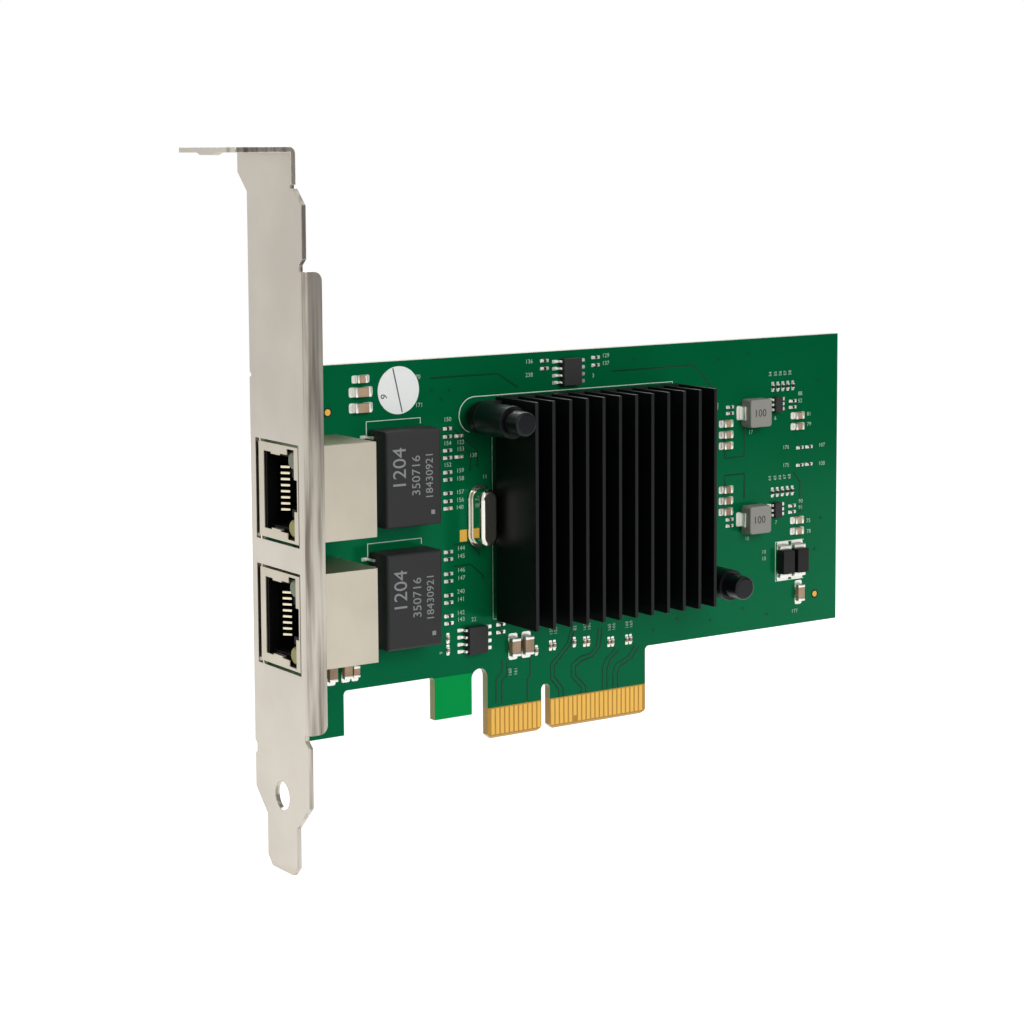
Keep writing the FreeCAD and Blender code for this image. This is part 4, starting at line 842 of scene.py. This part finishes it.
# the dark sheet
SHEET_PLACE = (0.25, -0.4, 0.16)
SHEET_TURN = (math.pi / 2, 0, 0.6)
SHEET_SIZE = (0.9, 0.35, 1)

# each lamp's place, width and height, and power; all are aimed at the same point
LAMP_AIM = Vector((0, 0, 0.04))
LAMPS = {
    "key_lamp": ((0.05, -1.0, 0.5), (0.7, 0.6), 8.4),
    "side_lamp": ((-0.9, -0.2, 0.5), (0.5, 0.7), 0.3),
    "back_lamp": ((0.5, 0.9, 0.6), (0.6, 0.6), 4.2),
}


def make_camera():
    """The camera, from its place, direction and roll."""
    ahead = Vector((
        math.sin(CAMERA_AZIMUTH) * math.cos(CAMERA_PITCH),
        math.cos(CAMERA_AZIMUTH) * math.cos(CAMERA_PITCH),
        math.sin(CAMERA_PITCH),
    ))
    right = Vector((math.cos(CAMERA_AZIMUTH), -math.sin(CAMERA_AZIMUTH), 0))
    up = right.cross(ahead)
    turned_right = math.cos(CAMERA_ROLL) * right + math.sin(CAMERA_ROLL) * up
    turned_up = math.cos(CAMERA_ROLL) * up - math.sin(CAMERA_ROLL) * right
    lens = bpy.data.cameras.new("camera")
    lens.lens = CAMERA_LENS
    lens.shift_y = CAMERA_SHIFT
    lens.clip_start = CAMERA_NEAR
    camera = bpy.data.objects.new("camera", lens)
    turn = Matrix((turned_right, turned_up, -ahead)).transposed()
    camera.matrix_world = Matrix.Translation(CAMERA_PLACE) @ turn.to_4x4()
    bpy.context.scene.collection.objects.link(camera)
    bpy.context.scene.camera = camera


def sees_white(owner):
    """1 for rays from the camera and for those that a surface mirrors or lets through."""
    path = node(owner, "ShaderNodeLightPath")
    share = path.outputs["Is Camera Ray"]
    for kind in ("Is Glossy Ray", "Is Transmission Ray"):
        larger = node(owner, "ShaderNodeMath", operation="MAXIMUM")
        join(owner, share, larger.inputs[0])
        join(owner, path.outputs[kind], larger.inputs[1])
        share = larger.outputs[0]
    return share


def distance_share(material, near, far):
    """0 up to one distance from the middle, 1 beyond another."""
    length = node(material, "ShaderNodeVectorMath", operation="LENGTH")
    ramp = node(material, "ShaderNodeMapRange", interpolation_type="SMOOTHSTEP", From_Min=near, From_Max=far)
    join(material, node(material, "ShaderNodeTexCoord").outputs["Object"], length.inputs[0])
    join(material, length.outputs["Value"], ramp.inputs["Value"])
    return ramp.outputs["Result"]


def white_light(material, strength):
    """White emission of a given strength."""
    made = node(material, "ShaderNodeEmission", Color=WHITE)
    join(material, strength, made.inputs["Strength"])
    return made.outputs[0]


def make_floor():
    """Pale floor that keeps a soft shadow, looks white to the camera and fades to plain white."""
    bpy.ops.object.select_all(action="DESELECT")
    bpy.ops.mesh.primitive_plane_add(size=FLOOR_SIDE, location=(0, 0, CAD_BOX[0][2] - FLOOR_DROP))
    floor = bpy.context.object
    floor.name = "floor"
    made = finish("pale_floor", (235, 235, 235), 0.9)
    glow = node(made, "ShaderNodeMath", operation="MULTIPLY")
    glow.inputs[1].default_value = FLOOR_GLOW
    join(made, sees_white(made), glow.inputs[0])
    both = node(made, "ShaderNodeAddShader")
    join(made, shader_of(made).outputs[0], both.inputs[0])
    join(made, white_light(made, glow.outputs[0]), both.inputs[1])
    fade = node(made, "ShaderNodeMixShader")
    join(made, distance_share(made, *FLOOR_FADE), fade.inputs["Fac"])
    join(made, both.outputs[0], fade.inputs[1])
    join(made, white_light(made, sees_white(made)), fade.inputs[2])
    join(made, fade.outputs[0], made.node_tree.nodes["Material Output"].inputs["Surface"])
    floor.data.materials.append(made)


def make_world():
    """Soft light from all round, with a white background behind the card."""
    world = bpy.data.worlds.new("studio")
    bpy.context.scene.world = world
    world.use_nodes = True
    background = world.node_tree.nodes["Background"]
    background.inputs["Color"].default_value = WHITE
    strength = node(world, "ShaderNodeMix", A=WORLD_LIGHT, B=WORLD_WHITE)
    join(world, sees_white(world), strength.inputs["Factor"])
    join(world, strength.outputs["Result"], background.inputs["Strength"])


def make_lamp(name, place, size, power):
    """A rectangular lamp aimed at the card."""
    lamp = bpy.data.lights.new(name, "AREA")
    lamp.shape = "RECTANGLE"
    lamp.size, lamp.size_y = size
    lamp.energy = power
    made = bpy.data.objects.new(name, lamp)
    made.location = place
    made.rotation_mode = "QUATERNION"
    made.rotation_quaternion = (LAMP_AIM - Vector(place)).to_track_quat("-Z", "Y")
    bpy.context.scene.collection.objects.link(made)


def make_dark_card():
    """A dark sheet that only the metal's reflections see: it neither lights nor shades anything."""
    bpy.ops.object.select_all(action="DESELECT")
    bpy.ops.mesh.primitive_plane_add(size=1, location=SHEET_PLACE, rotation=SHEET_TURN, scale=SHEET_SIZE)
    sheet = bpy.context.object
    sheet.name = "dark_card"
    sheet.data.materials.append(finish("dark_cloth", (40, 37, 33), 0.9))
    sheet.visible_camera = False
    sheet.visible_diffuse = False
    sheet.visible_transmission = False
    sheet.visible_shadow = False


def make_studio():
    """Camera, floor, background and lamps."""
    make_camera()
    make_floor()
    make_dark_card()
    make_world()
    for name, (place, size, power) in LAMPS.items():
        make_lamp(name, place, size, power)
    bpy.context.scene.view_settings.view_transform = "Standard"


# ---------------------------------------------------------------- the whole

dress_metal()
dress_plastic()
dress_cooler()
dress_small_parts()
for cad_name in ("pcb", "edge_contacts", "thermal_pad", "jack_pin_tails", "inspection_label"):
    keep_cad(cad_name)
keep_cad("gold_pads", "flat_gold")
make_lands()
make_joints()
make_label_marks()
make_board_print()
make_traces()
make_mask_rings()
make_package_marks()
make_studio()
